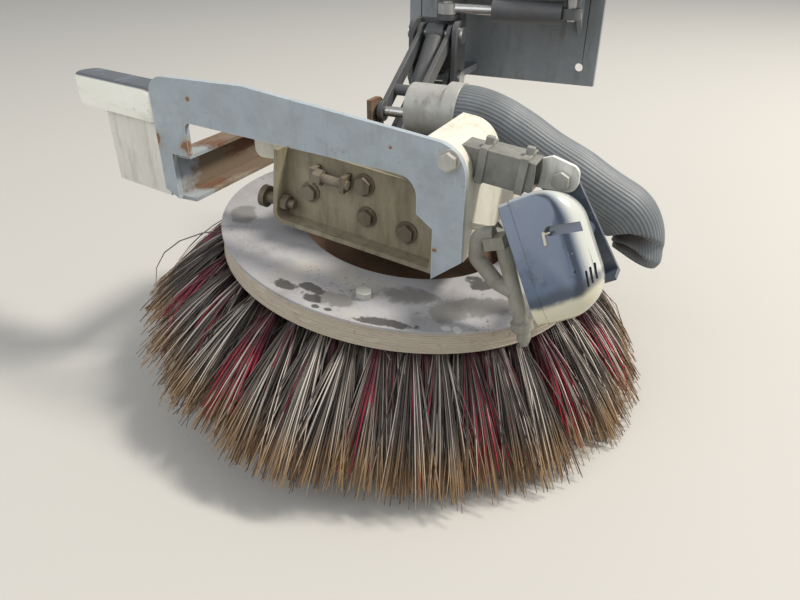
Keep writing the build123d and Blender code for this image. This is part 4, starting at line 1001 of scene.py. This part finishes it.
def lamp_material(name):
    """Glossy housing, its blue-grey a painted reflection of sky; painted shade and a painted highlight at the
    right, a painted highlight on top, painted shade and a painted reflection of the ground at the low end.
    """
    turned = lamp_place().to_3x3().normalized()
    right, up = turned @ Vector((1, 0, 0)), turned @ Vector((0, 0, 1))
    low = -up
    corner = site(*LAMP_CORNER)
    # The blue-grey base stands for dark plastic: a painted reflection of sky
    made = Paint(name, (80, 95, 117), 0.2)
    made.patches((98, 112, 134), 0.5, (0.45, 0.7), (11, 4, 0.6))
    made.patches((50, 60, 76), 0.6, (0.52, 0.64), (24, 6, 0.7), shift=4)
    # Painted shade: a dark band between the face and the right rounding
    made.layer((42, 50, 62), made.both(made.facing(right, 0.08, 0.2), made.facing(right, 0.5, 0.3)), 0.8)
    # Painted highlight on the right rounding
    made.layer((208, 209, 200), made.facing(right, 0.32, 0.75), 0.8)
    # Painted highlight on top
    made.layer((200, 203, 198), made.facing(up, 0.3, 0.85), 0.6)
    # Painted shade: a dark band above the low end
    dark = made.either(made.facing(low, 0.03, 0.14), made.beyond(low, corner, 0.1, 0.11, 0.014))
    made.layer((46, 52, 60), dark, 0.75)
    # Painted reflection of the ground on the low end
    pale = made.either(made.facing(low, 0.2, 0.42), made.beyond(low, corner, 0.114, 0.121, 0.01))
    made.layer((204, 199, 174), pale, 0.9)
    dusty = made.patches((150, 148, 138), 0.35, (0.6, 0.75), (60, 5, 0.7), shift=8)
    made.patches((190, 190, 184), 0.4, (0.68, 0.75), (180, 3, 0.6), shift=12)
    made.roughen(dusty, 0.5)
    made.bump(0.0006, 0.2, (30, 3, 0.5))
    made.shader.inputs["Coat Weight"].default_value = 0.5
    made.shader.inputs["Coat Roughness"].default_value = 0.12
    return made.done()


# Rear cap: what is cut off its low rear corner, along and up, and how the cap is turned
CAP_CUT = [
    (-9, -6), (30, -6), (30, -0.2), (20, 0.8), (12, 4), (6.5, 10), (3, 18), (0.5, 30), (-1, 44), (-9, 44),
]
CAP_CUT_DEPTHS = (-60.0, 80.0)
CAP_CORNER_IN = 33.0
CAP_TURN = math.radians(-11)
CAP_ROUND = 1.5


def make_cap():
    """The rear cap with its low rear corner rounded off."""
    low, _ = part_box("rear_cap")
    corner = Matrix.Translation((low.x, low.y + CAP_CORNER_IN * MM, low.z))
    tool = prism(CAP_CUT, *CAP_CUT_DEPTHS)
    tool.transform(corner @ Matrix.Rotation(CAP_TURN, 4, "Z") @ Matrix.Scale(MM, 4))
    body = carve(frame["nodes"]["rear_cap"].data.copy(), [tool])
    body.materials.clear()
    place = Matrix.Identity(4)
    piece = place_mesh(body, "cap_block", place, "brush_frame", cap_material(), ("rear_cap",))
    close_seams(piece)
    soften(piece, CAP_ROUND)


def cap_material():
    """White plastic with painted shade on its top, mottled with painted highlights, and worn edges."""
    made = Paint("cap_plastic", (232, 232, 221), 0.45)
    made.patches((244, 243, 235), 0.6, (0.45, 0.66), (8, 4, 0.6))
    made.patches((178, 176, 164), 0.6, (0.5, 0.7), (16, 5, 0.7), (0.6, 0.6, 3), 3)
    made.patches((128, 122, 108), 0.5, (0.6, 0.74), (70, 5, 0.7), shift=8)
    # Painted shade on the top of the cap
    top = made.layer((50, 57, 70), made.facing((0, 0, 1), 0.35, 0.75), 0.95)
    # Painted highlights mottling the painted shade on the top
    made.layer((104, 112, 124), made.both(top, made.mask((0.52, 0.66), (26, 4, 0.7), shift=11)), 0.55)
    made.wear((222, 224, 222), 0.003, (0.35, 0.5), 50)
    made.bump(0.0003, 0.2, (200, 3, 0.6))
    return made.done()


# Rust marks on the guard plate's front: X, Z and radius
GUARD_FRONT = -150.0
GUARD_RUST = [
    (-303, 340, 8), (-252, 335, 9), (-246, 322, 6), (-252, 262, 8), (-122, 336, 7), (-106, 334, 5),
    (-82, 330, 4), (-40, 320, 4), (-89, 355, 2.5), (50, 375, 2.2), (-238, 399, 3), (108, 258, 3),
]
# How much wider the stain round a mark is
HALO = 1.7


def guard_material():
    """Grey-blue paint with streaks, scratches and marks of rust."""
    made = Paint("guard_paint", (154, 164, 171), 0.5)
    made.patches((172, 181, 187), 0.6, (0.45, 0.65), (7, 5, 0.65))
    made.patches((138, 147, 154), 0.6, (0.5, 0.68), (12, 6, 0.72), shift=4)
    made.patches((128, 130, 126), 0.45, (0.56, 0.74), (20, 5, 0.7), (3.5, 3.5, 0.6), 5)
    made.patches((186, 190, 190), 0.4, (0.6, 0.72), (55, 3, 0.7), (5, 5, 0.5), 15)
    made.patches((118, 116, 108), 0.35, (0.64, 0.74), (170, 2, 0.6), shift=9)
    scratch = made.mask((0.64, 0.7), (120, 3, 0.75), (1, 1, 0.25), 21)
    made.layer((204, 210, 212), made.both(scratch, made.mask((0.46, 0.6), (11, 3, 0.6), shift=23)), 0.6)
    made.patches((112, 118, 122), 0.4, (0.58, 0.66), (34, 6, 0.8), shift=27)
    low = made.both(made.facing((0, 0, -1), -0.4, 0.6), made.mask((0.4, 0.6), (30, 4, 0.6)))
    made.layer((120, 112, 98), low, 0.5)
    marks = [(site(x, GUARD_FRONT, z), size) for x, z, size in GUARD_RUST]
    halo = made.layer((152, 134, 108), made.near([(point, size * HALO) for point, size in marks], 1.0), 0.35)
    rust = made.layer((122, 80, 48), made.near(marks, 1.1, 170), 0.85)
    spots = made.patches((120, 78, 50), 0.85, (0.71, 0.75), (60, 6, 0.75), shift=12)
    made.wear((206, 208, 204), 0.0014, (0.4, 0.55), 60)
    made.roughen(halo, 0.7)
    made.roughen(rust, 0.95)
    made.roughen(spots, 0.95)
    made.bump(0.0003, 0.25, (300, 3, 0.6))
    made.bump(0.0012, 0.15, (24, 5, 0.6), shift=12)
    return made.done()


# Grey paint left on the beam's front end: place and radius
BEAM_PAINT = [((-250, -142, 330), 50), ((-250, -142, 296), 56), ((-246, -142, 268), 46)]


def beam_material():
    """Rusty steel with what is left of its paint."""
    made = Paint("beam_steel", (112, 97, 80), 0.8)
    made.patches((150, 141, 124), 0.7, (0.5, 0.66), (22, 5, 0.7), (1, 0.25, 1))
    made.patches((104, 66, 44), 0.8, (0.5, 0.6), (30, 6, 0.75), (1, 0.3, 1), 6)
    made.patches((50, 40, 33), 0.8, (0.52, 0.64), (18, 5, 0.7), (1, 0.4, 1), 13)
    painted = [(site(*place), size) for place, size in BEAM_PAINT]
    made.layer((150, 160, 165), made.near(painted, 0.5, 60), 0.85)
    made.patches((126, 76, 46), 0.8, (0.62, 0.68), (120, 4, 0.7), shift=19)
    made.bump(0.001, 0.5, (160, 5, 0.75))
    return made.done()


# Weathered coats: the nodes that wear each, its name, the colours of paint, pale places, dirt and rust,
# roughness, the shares of dirt and rust and, for some, the width of worn edges in metres and metal
COATS = {
    "mount_plate top_plate kingpin_ear gusset_left gusset_right": (
        "mount_paint", (128, 134, 138), (148, 153, 156), (104, 100, 92), (112, 72, 46), 0.5, 0.5, 0.3,
    ),
    "side_plate hanger_plate duct_post spray_bracket": (
        "side_paint", (198, 195, 180), (218, 215, 202), (150, 142, 122), (124, 80, 50), 0.55, 0.5, 0.3,
    ),
    "motor_bracket": (
        "bracket_paint", (134, 126, 104), (160, 153, 132), (86, 76, 58), (98, 66, 44), 0.6, 0.95, 0.4,
    ),
    "swing_carrier swing_lever lift_link_low lift_link_high lift_cylinder swing_cylinder": (
        "chassis_paint", (74, 76, 78), (92, 94, 96), (96, 88, 74), (98, 62, 42), 0.5, 0.6, 0.3,
    ),
    "bracket_bolts side_bolt tilt_adjuster": (
        "rusty_bolts", (100, 90, 74), (138, 130, 114), (62, 52, 42), (92, 60, 40),
        0.55, 0.8, 0.6, 0.0006, 0.25,
    ),
    "brush_bolts guard_bolt lamp_bolt": (
        "zinc_bolts", (158, 157, 150), (190, 189, 182), (110, 104, 92), (120, 84, 56),
        0.4, 0.4, 0.25, 0.0006, 0.2,
    ),
    "sleeve_clamps": (
        "band_steel", (112, 112, 108), (158, 157, 150), (80, 76, 68), (100, 72, 52),
        0.5, 0.6, 0.3, 0.0009, 0.15,
    ),
    "rear_board": (
        "board_paint", (204, 202, 193), (222, 220, 212), (160, 154, 140), (120, 84, 56), 0.6, 0.5, 0.2,
    ),
    # Its dark brown is partly rust and partly painted shade
    "brush_carrier_disc motor_shaft": (
        "rusty_steel", (92, 66, 48), (112, 88, 66), (62, 48, 38), (78, 46, 30), 0.85, 0.7, 0.9,
    ),
    # Its pale worn edges are partly wear and partly a painted highlight along the edges
    "lamp_arm arm_sleeve motor": (
        "arm_black", (88, 88, 85), (150, 150, 143), (96, 92, 82), (88, 64, 48), 0.5, 0.6, 0.1,
    ),
    "duct_clamp duct_stub": (
        "clamp_steel", (164, 163, 158), (196, 195, 190), (122, 116, 104), (112, 76, 50),
        0.4, 0.5, 0.35, 0.0006, 0.15,
    ),
    "lamp_yoke": ("yoke_paint", (70, 79, 90), (132, 139, 146), (74, 76, 78), (110, 90, 70), 0.3, 0.3, 0.05),
    # The ear's paint is paler than the part: painted light that offsets the shade it stands in
    "lamp_ear": (
        "ear_steel", (214, 213, 207), (236, 235, 230), (140, 132, 118), (120, 84, 56),
        0.4, 0.6, 0.3, 0.0009, 0.1,
    ),
    "spray_pipe spray_hose": (
        "spray_plastic", (122, 120, 110), (160, 158, 148), (92, 88, 78), (104, 84, 62), 0.55, 0.6, 0.1,
    ),
    (
        "lift_rod swing_rod inner_pin_low inner_pin_high outer_pin_low outer_pin_high kingpin "
        "swing_foot_pin swing_lever_pin"
    ): (
        "rod_chrome", (170, 170, 168), (190, 190, 188), (110, 104, 94), (112, 80, 56),
        0.25, 0.3, 0.1, 0.0006, 0.8,
    ),
}
RUSTY = "channel_beam cross_tube frame_rib_left frame_rib_right link_lug_left link_lug_right cap_bracket"
LENS_COLOUR = (196, 204, 206)
LENS_ROUGHNESS = 0.12


def dress_frame():
    """Gives every solid that is shown its material."""
    for nodes, coat in COATS.items():
        dress(weathered(*coat), nodes)
    dress(guard_material(), "guard_plate")
    dress(beam_material(), RUSTY)
    dress(Paint("lamp_glass", LENS_COLOUR, LENS_ROUGHNESS).done(), "lamp_lens")
    dress(cover_material(), "brush_cover")


make_camera()
make_world()
make_floor()
for light in LIGHTS:
    area_light(*light)
dress_frame()
make_ring()
make_strands()
make_duct()
make_lamp()
make_cap()
bpy.context.scene.view_settings.view_transform = "Standard"
